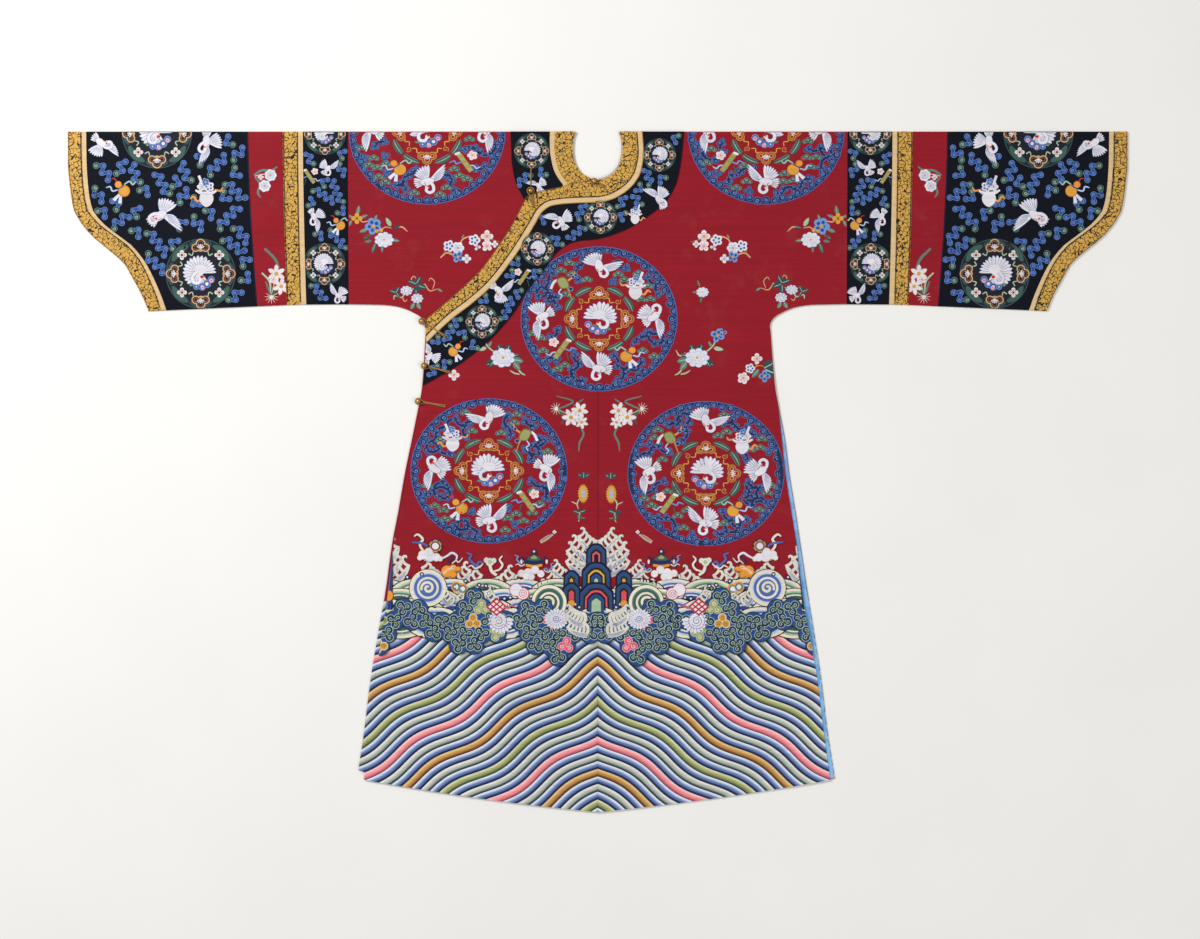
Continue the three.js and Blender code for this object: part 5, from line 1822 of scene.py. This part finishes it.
ROUNDEL_RADIUS = 155
ROUNDEL_SIZE = (161 / ROUNDEL_RADIUS, 149 / ROUNDEL_RADIUS)
RIM_LOBES = 56
# Each crane's place, and the directions of its wing, fan, tail and neck with the neck's side.
CRANES = [
    (0, -112, 5, -130, -100, 20, 1),
    (-114, -4, 115, -110, -30, 40, 1),
    (110, -6, 60, -155, 145, -40, -1),
    (-2, 106, -150, -60, 10, 140, -1),
]
EMBLEMS = [
    (scroll_case, -72, -76, 1.0),
    (flower_vase, 72, -72, 1.1),
    (flute_case, -74, 64, 1.0),
    (gourd, 58, 76, 1.1),
]


def large_roundel(area, x, down, flip, seed):
    """A roundel 322 mm wide and 298 mm high."""
    whole = Pen(area).at(x, down, ROUNDEL_SIZE, 0, flip)
    whole.ring(149.5, 11, "deep")
    whole.ring(154.5, 1.6, "steel")
    rim = []
    for at in range(RIM_LOBES):
        reach = 148 if at % 2 else 144.5
        rim.append((*towards(at * 360 / RIM_LOBES, reach), 7.4 if at % 3 else 8.6))
    obstacles = [(*crane[:2], 29) for crane in CRANES] + [(*emblem[1:3], 18) for emblem in EMBLEMS]

    def in_ring(place):
        return 84 < math.hypot(*place) < 136

    cloud_field(whole, in_ring, obstacles, (-137, 137, -137, 137), 16.5, 6.0, seed, rim)
    above = whole.layer + 1
    for crane_x, crane_down, *turns in CRANES:
        flying_crane(whole.at(layer=above), crane_x, crane_down, 0.9, *turns)
    for draw_emblem, *place in EMBLEMS:
        draw_emblem(whole.at(layer=above), *place)
    inner = whole.at(layer=1)
    for middle in range(45, 360, 90):
        for side in (-1, 1):
            arc = (middle + side * 2, middle + side * 32)
            inner.at(layer=1).ring(68, 13, "green", *arc, (0.5, 0.1))
            inner.at(layer=2).ring(68, 1.6, "mint", *arc, (0.3, 0.1))
            inner.at(layer=2).ring(63, 1.4, "leaf", *arc, (0.3, 0.1))
        coil = inner.at(*towards(middle, 52), 1.0, middle, layer=3)
        coil.stroke(spiral(6.5), 2.2, "ochre", (0.8, 0.4), steps=0)
        for side in (-1, 1):
            tendril = [(-6, side * 4), (-12, side * 10), (-7, side * 17), (-13, side * 22)]
            coil.at(layer=3).stroke(tendril, 2.2, "gold", (0.8, 0.5))
    for at in range(4):
        ruyi_head(inner.at(layer=6), 90 * at, 53, ("ochre", "crimson", "gold", "crimson"))
    curled_crane(inner.at(layer=6), 0.98)


print("roundels are ready")

# %% [markdown]
# ## Rocks, foam and waves
# The sea below the robe has a rock in the middle and half a rock at each side. Foam breaks in curved
# combs with small hooks, and round waves roll between. All of it is drawn for one half and mirrored
# for the other.

# %% Rocks and foam
def rock_tier(pen, x, apex, base, half, tints):
    """A pointed arch of bands, each inside the one before it."""
    pen.layer += 3
    height = base - apex
    for step, tint in enumerate(tints):
        inset = 3.4 * step
        wide = half - inset
        if wide < 2.5:
            break
        top = apex + inset * 1.25
        shoulder = top + min(height * 0.3, wide * 0.62)
        arch = [(x - wide, base), (x - wide * 0.96, shoulder)]
        arch += [(x - wide * 0.5, top + 2.6), (x - wide * 0.18, top)]
        pen.fill(arch + [(2 * x - across, down) for across, down in arch[::-1]], tint, 0)


CLAW = [(-2, -3), (5, -2.5), (11, 1), (12.5, 6.5), (9, 9.5), (6.8, 7)]


def foam_comb(pen, base, tip, width, hooks, side):
    """A curved band of foam from base to tip, ruled with fine lines, with claws along one side."""
    base, tip = np.asarray(base, float), np.asarray(tip, float)
    run = tip - base
    beside = np.array([-run[1], run[0]]) * side / np.hypot(*run)
    sag = beside * np.hypot(*run) * 0.4
    share = np.linspace(0, 1, 9)[:, None]
    line = base + run * share + sag * share * (share - 1)
    angle = math.degrees(math.atan2(beside[1], beside[0]))
    first = pen.layer
    for layer, more, tint in ((0, 1.3, "teal"), (1, 0.0, "foam")):
        pen.at(layer=first + layer).stroke(line, width * 0.72 + more, tint, (1, 0.4), 0)
        for at in np.linspace(0.12, 1.0, hooks):
            spot = base + run * at + sag * at * (at - 1) + beside * width * (0.36 - 0.2 * at)
            size = width / 15 * (1.5 - 0.4 * at)
            claw = pen.at(*spot, (size, -side * size), angle + side * 18 * at, layer=first + layer)
            claw.stroke(CLAW, 4.6 + more, tint, (1, 0.4), 3)
    for part in (-0.24, -0.08, 0.08, 0.24):
        rule = line[:7] + beside * width * part * np.linspace(1, 0.5, 7)[:, None]
        pen.at(layer=first + 2).stroke(rule, 0.9, "steel", (1, 0.4), 0)
    pen.layer = first + 3


WAVE_TINTS = [
    ("ink", "cream", "pale", "steel", "cream", "blue", "ink"),
    ("ink", "cream", "mint", "leaf", "cream", "green", "ink"),
]


def hump(pen, x, down, wide, high, tints):
    """One wave of the sea: bands of thread inside each other, lighter at the crest."""
    for share, tint in zip((1.0, 0.95, 0.8, 0.7, 0.58, 0.5, 0.3), tints):
        pen.disc(x, down, (wide * share, high * share), tint, 26 if share > 0.5 else 16)


def rolling_wave(pen, x, down, radius, body, light):
    """A wave that rolls in on itself: broad rings and a true spiral in the middle."""
    own = pen.at(x, down)
    rings = ((1.0, "ink"), (0.97, "cream"), (0.8, light), (0.73, body), (0.58, "cream"), (0.46, body))
    for share, tint in rings:
        own.disc(0, 0, radius * share, tint, 34)
        own.layer += 2
    own.stroke(spiral(radius * 0.36, 1.45, 160, 26), radius * 0.14, "cream", (0.9, 0.7), steps=0)
    own.done()


print("rocks, foam and waves are ready")

# %% [markdown]
# ## Things that float on the sea
# A wheel, a canopy and a leaf ride on white clouds with ribbons; a horned head, a knot, a shell and a
# star of spray lie in the foam.

# %% Floating things
def white_cloud(pen, x, down, lobes):
    pen.at(x, down, layer=pen.layer).lobes(lobes, (0, 1.0), ("peach", "white"))
    pen.layer += 2


def waving_ribbon(pen, x, down, tint, flip, size):
    own = pen.at(x, down, size, 0, flip)
    ribbon(own, [(0, 0), (-8, -4), (-14, 4), (-22, -2), (-28, -10), (-24, -18), (-34, -22)], tint, 4.0)
    ribbon(own, [(0, 0), (-6, 6), (-16, 10), (-24, 4), (-32, 8)], "cream", 3.0)
    own.done()


def wheel_cloud(pen, x, down):
    own = pen.at(x, down)
    ribbon(own, [(-10, 0), (-22, -6), (-28, -18), (-22, -28), (-32, -38), (-40, -34)], "cream", 5.0)
    ribbon(own, [(-12, -14), (-24, -20), (-44, -22)], "steel", 4.0)
    own.lobes([(4, -14, 13)], (0, 3, 6), ("olive", "crimson", "white"), 16)
    studs = [(*(towards(turn, 13) + (4, -14)), 2.4) for turn in range(0, 360, 60)]
    own.lobes(studs, (0,), ("deep",), 6)
    white_cloud(own, -8, 4, [(-14, 0, 10), (0, 3, 12), (14, 5, 9), (22, 8, 6), (-2, -6, 9), (-20, 6, 6)])
    ribbon(own, [(16, 12), (28, 6), (38, 0), (48, 6), (46, 16)], "white", 4.6)
    own.done()


def canopy_cloud(pen, x, down):
    own = pen.at(x, down)
    waving_ribbon(own, -16, -2, "sky", False, 0.7)
    waving_ribbon(own, 20, 12, "sky", True, 0.6)
    own.disc(0, -25, 5.6, "deep", 8)
    own.disc(0, -25, 2.4, "white", 8)
    own.fill([(-20, -6), (-10, -14), (0, -21), (10, -14), (20, -6), (18, 2), (-18, 2)], "deep", 2)
    own.fill([(-15, -8), (0, -19), (15, -8), (0, -6)], "green", 2)
    own.fill([(-7, -11), (0, -17), (7, -11), (0, -9)], "olive", 2)
    own.stroke([(-17, 3), (0, 6), (17, 3)], 6.0, "orange", (0.8, 0.8))
    white_cloud(own, -8, 18, [(-18, 2, 8), (-4, 1, 10), (10, -5, 9), (22, 3, 8), (2, 9, 8), (-8, 8, 8)])
    for side in (-1, 1):
        own.disc(side * 26, -4, (3.4, 6.0), "brown", 8)
        own.disc(side * 26, -4, (2.2, 4.6), "white", 8)
        own.disc(side * 24, -12, (3, 3), "deep", 8)
    own.done()


def leaf_fan(pen, x, down):
    own = pen.at(x, down)
    waving_ribbon(own, -14, -2, "steel", False, 1.0)
    ribbon(own, [(8, 14), (20, 10), (26, 0), (20, -10), (26, -18)], "cream", 4.2)
    own.lobes([(0, -5, 9), (-7, -9, 6), (8, -8, 6)], (0, 1.2, 4.6), ("grey", "cream", "mint"))
    own.rimmed([(0, 2), (4, 14), (14, 22)], 5.6, 7.0, "grey", "cream", (0.9, 0.8))
    own.done()


def beast_head(pen, x, down):
    """A plain horned head in orange, half out of the foam."""
    own = pen.at(x, down)
    own.lobes([(-8, 4, 13), (4, -2, 9), (14, 0, 7), (4, 10, 8)], (0, 1.2), ("brown", "orange"), 14)
    for at in range(4):
        own.stroke(spiral(3.4, 1.2, at * 90) + (-14 + at * 5, 6 - at * 3), 1.4, "cream", (0.8, 0.6), steps=0)
    own.stroke([(6, 5), (13, 4), (20, 2)], 2.4, "red", (0.6, 0.6))
    own.disc(5, -4, 2.6, "white", 8)
    own.disc(5, -4, 1.4, "ink", 6)
    ribbon(own, [(2, -12), (10, -18), (16, -15), (24, -24)], "cream", 2.6)
    own.stroke([(-4, -12), (-2, -20), (8, -26)], 3.0, "deep", (1, 0.3))
    own.done()


def red_knot(pen, x, down):
    """An endless knot: red strands over and under on white."""
    own = pen.at(x, down)
    own.fill([(-18, -3), (0, -17), (19, -3), (0, 13)], "white", 0)
    for lean in (1, -1):
        for at in (-9, -3, 3, 9):
            strand = [(at - 11, lean * (-at - 9) - 2), (at + 11, lean * (9 - at) - 2)]
            own.stroke(strand, 3.0, "red", (1, 1), 1)
    ribbon(own, [(14, -2), (24, 0), (30, -5), (38, -2)], "rose", 3.0)
    own.done()


def white_shell(pen, x, down):
    own = pen.at(x, down)
    feathers(own, (6, -4), 120, 250, 27, 14, 0.9)
    own.lobes([(2, -4, 17)], (0, 1.2), ("steel", "white"), 20)
    own.stroke(spiral(12, 2.0, 30, 26) + (2, -4), 1.5, "steel", (0.8, 0.5), steps=0)
    spots = [(*(towards(turn, 14) + (2, -4)), 1.2) for turn in range(0, 360, 30)]
    own.lobes(spots, (0,), ("pink",), 6)
    own.done()


def star_spray(pen, x, down):
    own = pen.at(x, down, (1.0, 0.85))
    feathers(own, (0, 0), 0, 345, 25, 20, 1.0)
    own.disc(0, 0, 13, "white", 16)
    own.stroke(spiral(9, 2.0, 0, 24), 1.6, "steel", (0.8, 0.5), steps=0)
    own.done()


print("floating things are ready")

# %% [markdown]
# ## The bank of curling clouds
# The bank lies between two wave-shaped edges. Clusters of three curls are set in rows inside it, dark
# blue with a pale outline, on a blue ground whose edge follows the clusters; a few curls are rose,
# gold or olive.

# %% Cloud bank
BANK_HALF = 456.0
CLUSTER_PITCH = 32.0
CLUSTER_ROW = 25.0
ACCENTS = {
    3: ("mint", "olive", "cream"),
    9: ("pink", "rose", "white"),
    14: ("cream", "gold", "brown"),
    20: ("cream", "olive", "green"),
}


def bank_upper(out):
    """Humps 124 mm apart; the bank sinks towards the centre seam."""
    return 978 - 22 * np.cos(2 * math.pi * (out - 252) / 124) + 0.2 * max(0, 200 - out)


def bank_lower(out):
    """Long tongues that hang down 190 mm apart."""
    return 1066 + 26 * np.cos(2 * math.pi * (out - 86) / 190) - 0.06 * out


def curl_cluster(pen, x, down, radius, turn, tints):
    edge, body, line = tints
    own = pen.at(x, down)
    lobes = [(*towards(turn + 120 * at, radius * 0.98), radius) for at in range(3)]
    own.lobes(lobes, (0, 1.25), (edge, body), 14)
    for at, (lobe_x, lobe_down, _) in enumerate(lobes):
        coil = spiral(radius * 0.58, 1.3, turn + 120 * at + 150) + (lobe_x, lobe_down)
        own.at(layer=own.layer).stroke(coil, 1.45, line, (0.8, 0.8), steps=0)
    pen.layer = own.layer + 1


def cloud_bank(area):
    draw = random.Random(44)
    places = []
    for row in range(7):
        for column in range(19):
            out = column * CLUSTER_PITCH + (CLUSTER_PITCH / 2 if row % 2 else 0)
            down = 958 + row * CLUSTER_ROW
            out, down = out + draw.uniform(-2, 2), down + draw.uniform(-2, 2)
            if out < BANK_HALF and bank_upper(out) < down < bank_lower(out):
                places.append((-out, down, draw.uniform(0, 360)))
    for flip in (False, True):
        half = Pen(area).at(flip=flip)
        ground = [(x, down, 21.0) for x, down, _ in places]
        half.lobes(ground, (0, 1.2, 2.6), ("ink", "teal", "blue"), 16)
        for number, (x, down, turn) in enumerate(places):
            tints = ACCENTS.get(number % 23, ("mint", "deep", "mint"))
            curl_cluster(half.at(layer=6), x, down, 8.9, turn, tints)
    print("clusters in each half:", len(places))


# %% [markdown]
# ## The sea in one half
# The combs of foam are drawn first, then the rocks, then the waves from the back to the front, and
# last the things that float on them.

# %% Sea
# Each comb's foot, its tip, its width and the side of its claws.
SEA_COMBS = [
    (-6, 870, -40, 832, 15, 1), (-14, 886, -56, 848, 15, 1), (-20, 902, -64, 862, 15, 1),
    (-24, 914, -66, 884, 14, 1), (-62, 930, -94, 896, 13, 1), (-70, 944, -104, 918, 12, 1),
    (-444, 880, -424, 836, 15, -1), (-442, 902, -410, 854, 17, -1), (-438, 922, -402, 876, 17, -1),
    (-432, 938, -388, 892, 17, -1), (-326, 936, -362, 896, 15, 1), (-298, 944, -262, 902, 15, -1),
    (-284, 950, -238, 912, 15, -1), (-214, 950, -172, 910, 15, -1), (-204, 958, -160, 928, 13, -1),
    (-146, 962, -108, 936, 12, -1),
]
# Each row of waves: how far down it is, a wave's half width and half height, and the first wave's shift.
HUMP_ROWS = [(952, 58, 32, 4), (972, 58, 32, 40), (994, 60, 34, 6), (1012, 60, 34, 40)]
HUMP_PITCH = 72
WAVE_LAYER, ROCK_LAYER, FRONT_LAYER = 48, 112, 150
ROCKS = [
    (-3, 848, 900, 21.6, "ink blue teal ink rose ink pink"),
    (-3, 886, 942, 31, "ink blue teal ink gold ink blue teal mint"),
    (-3, 928, 990, 37, "ink blue teal ink coral ink blue teal mint"),
]
SIDE_ROCKS = [
    (-54, 903, 940, 17, "ink blue teal ink gold ink"),
    (-54, 928, 985, 19, "ink blue teal ink coral ink"),
    (-436, 858, 985, 14, "ink blue deep steel"),
]
FLOATING = [
    (beast_head, -302, 902),
    (wheel_cloud, -338, 868),
    (leaf_fan, -222, 892),
    (canopy_cloud, -131, 890),
]
STARS = [
    (-362, 912), (-392, 918), (-244, 934), (-230, 936), (-192, 962),
    (-180, 960), (-46, 974), (-38, 980), (-272, 926),
]


def half_sea(area, flip):
    half = Pen(area).at(flip=flip)
    for *ends, width, side in SEA_COMBS:
        foam_comb(half.at(layer=half.layer), ends[:2], ends[2:], width, 5, side)
        half.layer += 1
    for rocks in ([] if flip else ROCKS, SIDE_ROCKS):
        rock_pen = half.at(layer=ROCK_LAYER)
        for *arch, tints in rocks:
            rock_tier(rock_pen, *arch, tints.split())
    for row, (down, wide, high, shift) in enumerate(HUMP_ROWS):
        for at in range(7):
            x = -448 + shift + at * HUMP_PITCH
            if x > -4 or (x > -84 and row < 1):
                continue
            layer = WAVE_LAYER + row * 16 + (at % 2) * 8
            hump(half.at(layer=layer), x, down, wide, high, WAVE_TINTS[(at + row) % 2])
    if not flip:
        hump(half.at(layer=140), 0, 1012, 52, 34, WAVE_TINTS[0])
    front = half.at(layer=FRONT_LAYER)
    rolling_wave(front.at(), -349.5, 940, 39, "steel", "pale")
    rolling_wave(front.at(), -100, 970, 37, "green", "leaf")
    for base, tip in (((-306, 976), (-322, 948)), ((-216, 976), (-232, 946)), ((-270, 980), (-290, 956))):
        foam_comb(front.at(layer=FRONT_LAYER), base, tip, 11, 4, 1)
    for draw_thing, x, down in FLOATING:
        draw_thing(front.at(layer=FRONT_LAYER), x, down)
    front.lobes([(-278, 942, 11), (-291, 938, 11)], (0, 2.4, 6), ("orange", "leaf", "white"), 14)
    front.lobes([(-168, 944, 14), (-154, 952, 13)], (0, 1.4), ("coral", "white"), 14)
    for reach in (3.5, 7.5):
        front.ring(reach, 1.3, "coral", 0, 360, (1, 1), -154, 952)
    front.lobes([(-440, 942, 11), (-432, 956, 12), (-448, 952, 10)], (0, 1.2), ("brown", "orange"), 12)
    front.lobes([(x, down, 4.8) for x, down in STARS], (0, 2.6), ("deep", "white"), 8)
    front.lobes([(-54, 972, 8)], (0, 1.2), ("brown", "orange"), 12)


print("the sea is ready")

# %% [markdown]
# ## Laying the ornament out
# Each area has its own piece of ornament, with the height of its cloth. Shapes stop at the edge of
# the panel, as woven ones do at a seam.

# %% Areas
EDGE = 0.8
FOLD_LINE = 1.5
laid = {}


def lay(area, on):
    laid.setdefault(on, []).append(area.lay())


def front_limits(x, down):
    down = np.maximum(down, FOLD_LINE)
    sides = []
    for word in ("left", "right"):
        body = look_up(BODY, "down", word, down) - look_up(BODY, "down", word + "_inset", down)
        arm = np.where(down < ARM["down"][0] - EDGE, SEAMS["root"][1], look_up(ARM, "down", "out", down))
        sides.append(np.where(down > ARM_DOWN, body, arm) - EDGE)
    return np.clip(x, -sides[1], sides[0]), down


def sleeve_limits(inner, outer):
    def limits(x, down):
        lowest = look_up(UNDERSIDE, "out", "down", np.abs(x))
        down = np.clip(down, FOLD_LINE, lowest - FOLD_LINE)
        share = down / lowest
        return np.sign(x) * np.clip(np.abs(x), inner(share) + EDGE, outer(share) - EDGE), down

    return limits


def inner_collar_limits(x, down):
    down = np.clip(down, FOLD_LINE, 138)
    low = look_up(INNER_COLLAR, "down", "piping", down) + EDGE
    return -np.clip(-x, low, look_up(INNER_COLLAR, "down", "navy", down) - EDGE), down


def moved_by(limits, margin):
    """A test for places that the limits leave alone, with a margin to spare."""

    def keep(place):
        around = place + np.array([(margin, 0), (-margin, 0), (0, margin), (0, -margin)])
        new_x, new_down = limits(around[:, 0], around[:, 1])
        return np.all(np.abs(new_x - around[:, 0]) + np.abs(new_down - around[:, 1]) < 0.01)

    return keep


band_limits = sleeve_limits(seam_line("root", 0), seam_line("piping", 0))
section_limits = sleeve_limits(seam_line("section", 0), seam_line("cuff", 0))
cuff_limits = sleeve_limits(seam_line("cuff", 0), cuff_line("piping", 0))
print("areas are ready")

# %% [markdown]
# ## Ornament of the body
# Three whole large roundels and two halves on the shoulder fold, sprigs between them, and the sea.

# %% Roundels and sprigs
RIGHT_FRONT, LEFT_FRONT = "outer_front_silk", "left_half_front_and_back_silk"
RIGHT_HALF = "right_half_back_and_underlap_silk"


def body_level(x, down):
    """The height of whichever panel shows: the right half beyond the slanting edge, or a front."""
    beyond = (x < 0) & (down < ARM_DOWN) & (-x > look_up(SLANT, "down", "out", down))
    return np.where(beyond, underlap_level(x, down), front_level(x, down))


ROUNDELS = [
    ("roundel_chest", 3, 386, False, 3, RIGHT_FRONT),
    ("roundel_right_skirt", -224, 699, True, 4, RIGHT_FRONT),
    ("roundel_left_skirt", 223, 704.5, False, 5, LEFT_FRONT),
    ("roundel_right_shoulder", -351.5, 1, True, 6, RIGHT_HALF),
    ("roundel_left_shoulder", 347, 1, False, 7, LEFT_FRONT),
]
for name, x, down, flip, seed, on in ROUNDELS:
    area = Ornament(name, body_level, "crimson_silk", front_limits)
    large_roundel(area, x, down, flip, seed)
    lay(area, on)

SPRIGS = [
    (SHOULDER_SPRIG, -452, 197, 451, 197),
    (PLUM_SPRIG, -264, 232, 255, 232),
    (VINE_SPRIG, -374, 328, 380, 326),
    (PEONY_SPRIG, None, 0, 205, 466),
    (EDGE_SPRIG, None, 0, 334, 492),
    (LONE_FLOWER, None, 0, 216, 331),
    (NARCISSUS_SPRIG, -57, 579, 63, 579),
    (SUN_SPRIG, -30, 746, 28, 747),
    (BEAN_SPRIG, -104, 837, 97.5, 837),
]
sprigs = Ornament("front_sprigs", body_level, "crimson_silk", front_limits)
for table, right_x, right_down, left_x, left_down in SPRIGS:
    if right_x:
        sprig(Pen(sprigs), right_x, right_down, table, False)
    sprig(Pen(sprigs), left_x, left_down, table, right_x is not None)
PARTED_PEONY = {**PEONY_SPRIG, "stems": PEONY_SPRIG["stems"][:3], "flowers": PEONY_SPRIG["flowers"][:1]}
sprig(Pen(sprigs), -195, 466, PARTED_PEONY, True)
blossom(Pen(sprigs), -296, 502, 11, "pink", 4)
lay(sprigs, RIGHT_FRONT)

# %% Sea and cloud bank
sea = Ornament("sea_border", front_level, "crimson_silk", front_limits)
for flip in (False, True):
    half_sea(sea, flip)
lay(sea, RIGHT_FRONT)
BANK_RISE = 2.6
bank = Ornament("cloud_bank", lambda x, down: front_level(x, down) + BANK_RISE, "crimson_silk", front_limits)
cloud_bank(bank)
for flip in (False, True):
    half = Pen(bank, layer=12).at(flip=flip)
    white_shell(half.at(layer=12), -206, 1012)
    red_knot(half.at(layer=24), -208, 981)
    star_spray(half.at(layer=12), -85, 1004)
    foam_comb(half.at(layer=18), (-32, 1018), (-66, 992), 15, 6, 1)
    foam_comb(half.at(layer=18), (-22, 1038), (-64, 1020), 14, 6, 1)
lay(bank, LEFT_FRONT)

# %% [markdown]
# ## Ornament of the sleeves
# The navy bands and cuffs have roundels, cranes and chains of cloud; the red sections have flowers.
# A roundel at the fold shows its lower half. Both sleeves are drawn alike and mirrored.

# %% Sleeve ornament
# Roundels have a place and a radius; emblems a place and a size; cranes a place, a size, the
# directions of wing, fan, tail and neck, and the neck's side.
BAND_ITEMS = {
    "roundels": [(563, 273, 43), (562, 5, 43)],
    "cranes": [
        (556, 76, 0.52, -160, -40, 50, 130, -1),
        (584, 176, 0.6, 118, -150, -62, 40, 1),
        (534, 338, 0.55, -40, -130, 150, 40, 1),
    ],
    "emblems": [(gourd, 533, 190, 0.85), (flute_case, 594, 92, 0.7)],
}
CUFF_ITEMS = {
    "roundels": [(818, 293, 72), (908, 4, 72)],
    "cranes": [
        (900, 172, 0.98, 160, -115, 38, -10, 1),
        (1022, 24, 0.8, 160, 60, -40, 130, 1),
        (806, 22, 0.85, 88, -170, -90, 20, 1),
    ],
    "emblems": [(gourd, 980, 118, 1.1), (flower_vase, 806, 122, 1.2)],
}
COLLAR_ITEMS = {
    "roundels": [(127, 48.5, 34), (6, 177, 34), (-124, 242, 34), (-238, 392, 34)],
    "cranes": [
        (126, 140, 0.72, -130, -60, 60, 10, 1),
        (-76, 184, 0.7, -150, -30, 60, 100, 1),
        (-203, 328, 0.7, -20, 80, -140, 60, 1),
        (-346, 462, 0.6, -100, 20, 120, 170, 1),
    ],
    "emblems": [(flower_vase, 77, 170, 0.75), (flute_case, -152, 300, 0.75), (gourd, -294, 450, 0.9)],
}
INNER_COLLAR_ITEMS = {
    "roundels": [(-136, 40, 36)],
    "cranes": [(-122, 112, 0.5, -150, -40, 60, 40, 1)],
    "emblems": [],
}


def navy_ground(area, items, keep, box, side, radius, seed):
    """Roundels, cranes and emblems on a navy panel, with clouds between them."""
    pen = Pen(area).at(flip=side < 0)
    blocks = list(items["roundels"])
    blocks += [(x, down, size * 34) for x, down, size, *_ in items["cranes"]]
    blocks += [(x, down, size * 20) for _, x, down, size in items["emblems"]]

    def keep_mirrored(place):
        return keep(place * (side, 1))

    cloud_chains(pen, keep_mirrored, blocks, box, radius, seed)
    above = pen.layer + 1
    for x, down, size in items["roundels"]:
        navy_roundel(pen.at(layer=above), x, down, size)
    for crane in items["cranes"]:
        flying_crane(pen.at(layer=above), *crane)
    for draw_emblem, x, down, size in items["emblems"]:
        draw_emblem(pen.at(layer=above), x, down, size)


for word, side in (("right", -1), ("left", 1)):
    band = Ornament(f"{word}_band_ornament", sleeve_level, "navy_silk", band_limits)
    navy_ground(band, BAND_ITEMS, moved_by(band_limits, 4), (514, 608, 4, 352), side, 5.2, 7)
    lay(band, f"{word}_sleeve_navy_band_silk")
    cuff = Ornament(f"{word}_cuff_ornament", sleeve_level, "navy_silk", cuff_limits)
    navy_ground(cuff, CUFF_ITEMS, moved_by(cuff_limits, 6), (720, 1056, 4, 366), side, 6.4, 21)
    lay(cuff, f"{word}_cuff_navy_silk")
    red = Ornament(f"{word}_section_ornament", sleeve_level, "crimson_silk", section_limits)
    sprig(Pen(red), side * 686, 88, SECTION_UPPER, side > 0)
    sprig(Pen(red), side * 672, 305, SECTION_LOWER, side > 0)
    lay(red, f"{word}_sleeve_red_section_silk")

# %% [markdown]
# ## Ornament of the collar
# The navy collar bands carry small roundels, cranes, emblems and clouds. The band bends, so a place
# on it is tested against the lines of its two edges.

# %% Collar ornament
COLLAR_OUTLINE = np.vstack([collar_lines["piping"], collar_lines["navy"][::-1]])


def inside_outline(place, outline):
    """True where a line to the left of a place crosses the outline an odd number of times."""
    start, end = outline, np.roll(outline, -1, 0)
    spans = (start[:, 1] > place[1]) != (end[:, 1] > place[1])
    rise = np.where(end[:, 1] == start[:, 1], 1, end[:, 1] - start[:, 1])
    crossing = start[:, 0] + (place[1] - start[:, 1]) * (end[:, 0] - start[:, 0]) / rise
    return np.sum(spans & (crossing < place[0])) % 2 == 1


def on_collar(place):
    return all(inside_outline(place + step, COLLAR_OUTLINE) for step in ((6, 0), (-6, 0), (0, 6), (0, -6)))


collar = Ornament("collar_ornament", collar_level, "navy_silk", front_limits)
navy_ground(collar, COLLAR_ITEMS, on_collar, (-356, 178, 3, 520), 1, 5.2, 31)
lay(collar, "collar_navy_band_silk")


def inner_collar_level(x, down):
    return OUTER_LEVEL + 0 * x


inner = Ornament("inner_collar_ornament", inner_collar_level, "navy_silk", inner_collar_limits)
navy_ground(inner, INNER_COLLAR_ITEMS, moved_by(inner_collar_limits, 4), (-180, -98, 3, 138), 1, 5.2, 41)
lay(inner, "inner_collar_navy_band_silk")

# %% [markdown]
# ## Fine lines at the seams
# A thin black cord lies along the gold beside each cream piping. The collar also has a fine gold line
# on its piping and a brown one at the neck. The centre seam is a darker line below the chest roundel.

# %% Seam lines
def seam_lines(name, level, slot_name, lines, on, limits=None):
    area = Ornament(name, level, slot_name, limits)
    for points, width, tint in lines:
        Pen(area, layer=36).stroke(points, width, tint, steps=0)
    lay(area, on)


def beside_line(line, shift):
    return line + sideways(line) * shift


def sleeve_line(side, out_at, shift):
    share = np.linspace(0.005, 0.985, 90)
    out = out_at(share) + shift
    return np.stack([side * out, share * look_up(UNDERSIDE, "out", "down", out)], 1)


collar_cords = [
    (beside_line(collar_lines["gold"], -1.3), 1.7, "ink"),
    (beside_line(collar_lines["piping"], 0.9), 0.8, "gold"),
    (beside_line(collar_lines["neck"], -1.6), 1.0, "brown"),
]
seam_lines("collar_lines", collar_level, "gold_brocade", collar_cords, "collar_gold_band_silk", front_limits)
for word, side in (("right", -1), ("left", 1)):
    cords = [
        (sleeve_line(side, seam_line("gold", 0), 1.8), 1.5, "ink"),
        (sleeve_line(side, seam_line("section", 0), -1.8), 1.5, "ink"),
        (sleeve_line(side, cuff_line("gold", 0), 2.2), 1.7, "ink"),
        (sleeve_line(side, cuff_line("edge", 0), -1.8), 1.2, "brown"),
        (sleeve_line(side, seam_line("cuff", 0), 1.4), 1.0, "deep"),
    ]
    seam_lines(f"{word}_sleeve_lines", sleeve_level, "gold_brocade", cords, f"{word}_sleeve_gold_band_silk")
CENTRE_SEAM = (534, 850)
centre = np.stack([np.full(60, 0.4), np.linspace(*CENTRE_SEAM, 60)], 1)
seam_lines("centre_seam_line", front_level, "crimson_silk", [(centre, 0.9, "wine")], LEFT_FRONT)

# %% The cloth sheets
for entry in SHEETS.values():
    width, length = entry["flat"]
    area = min(entry["area"], width * length)
print("sheets:", len(SHEETS))
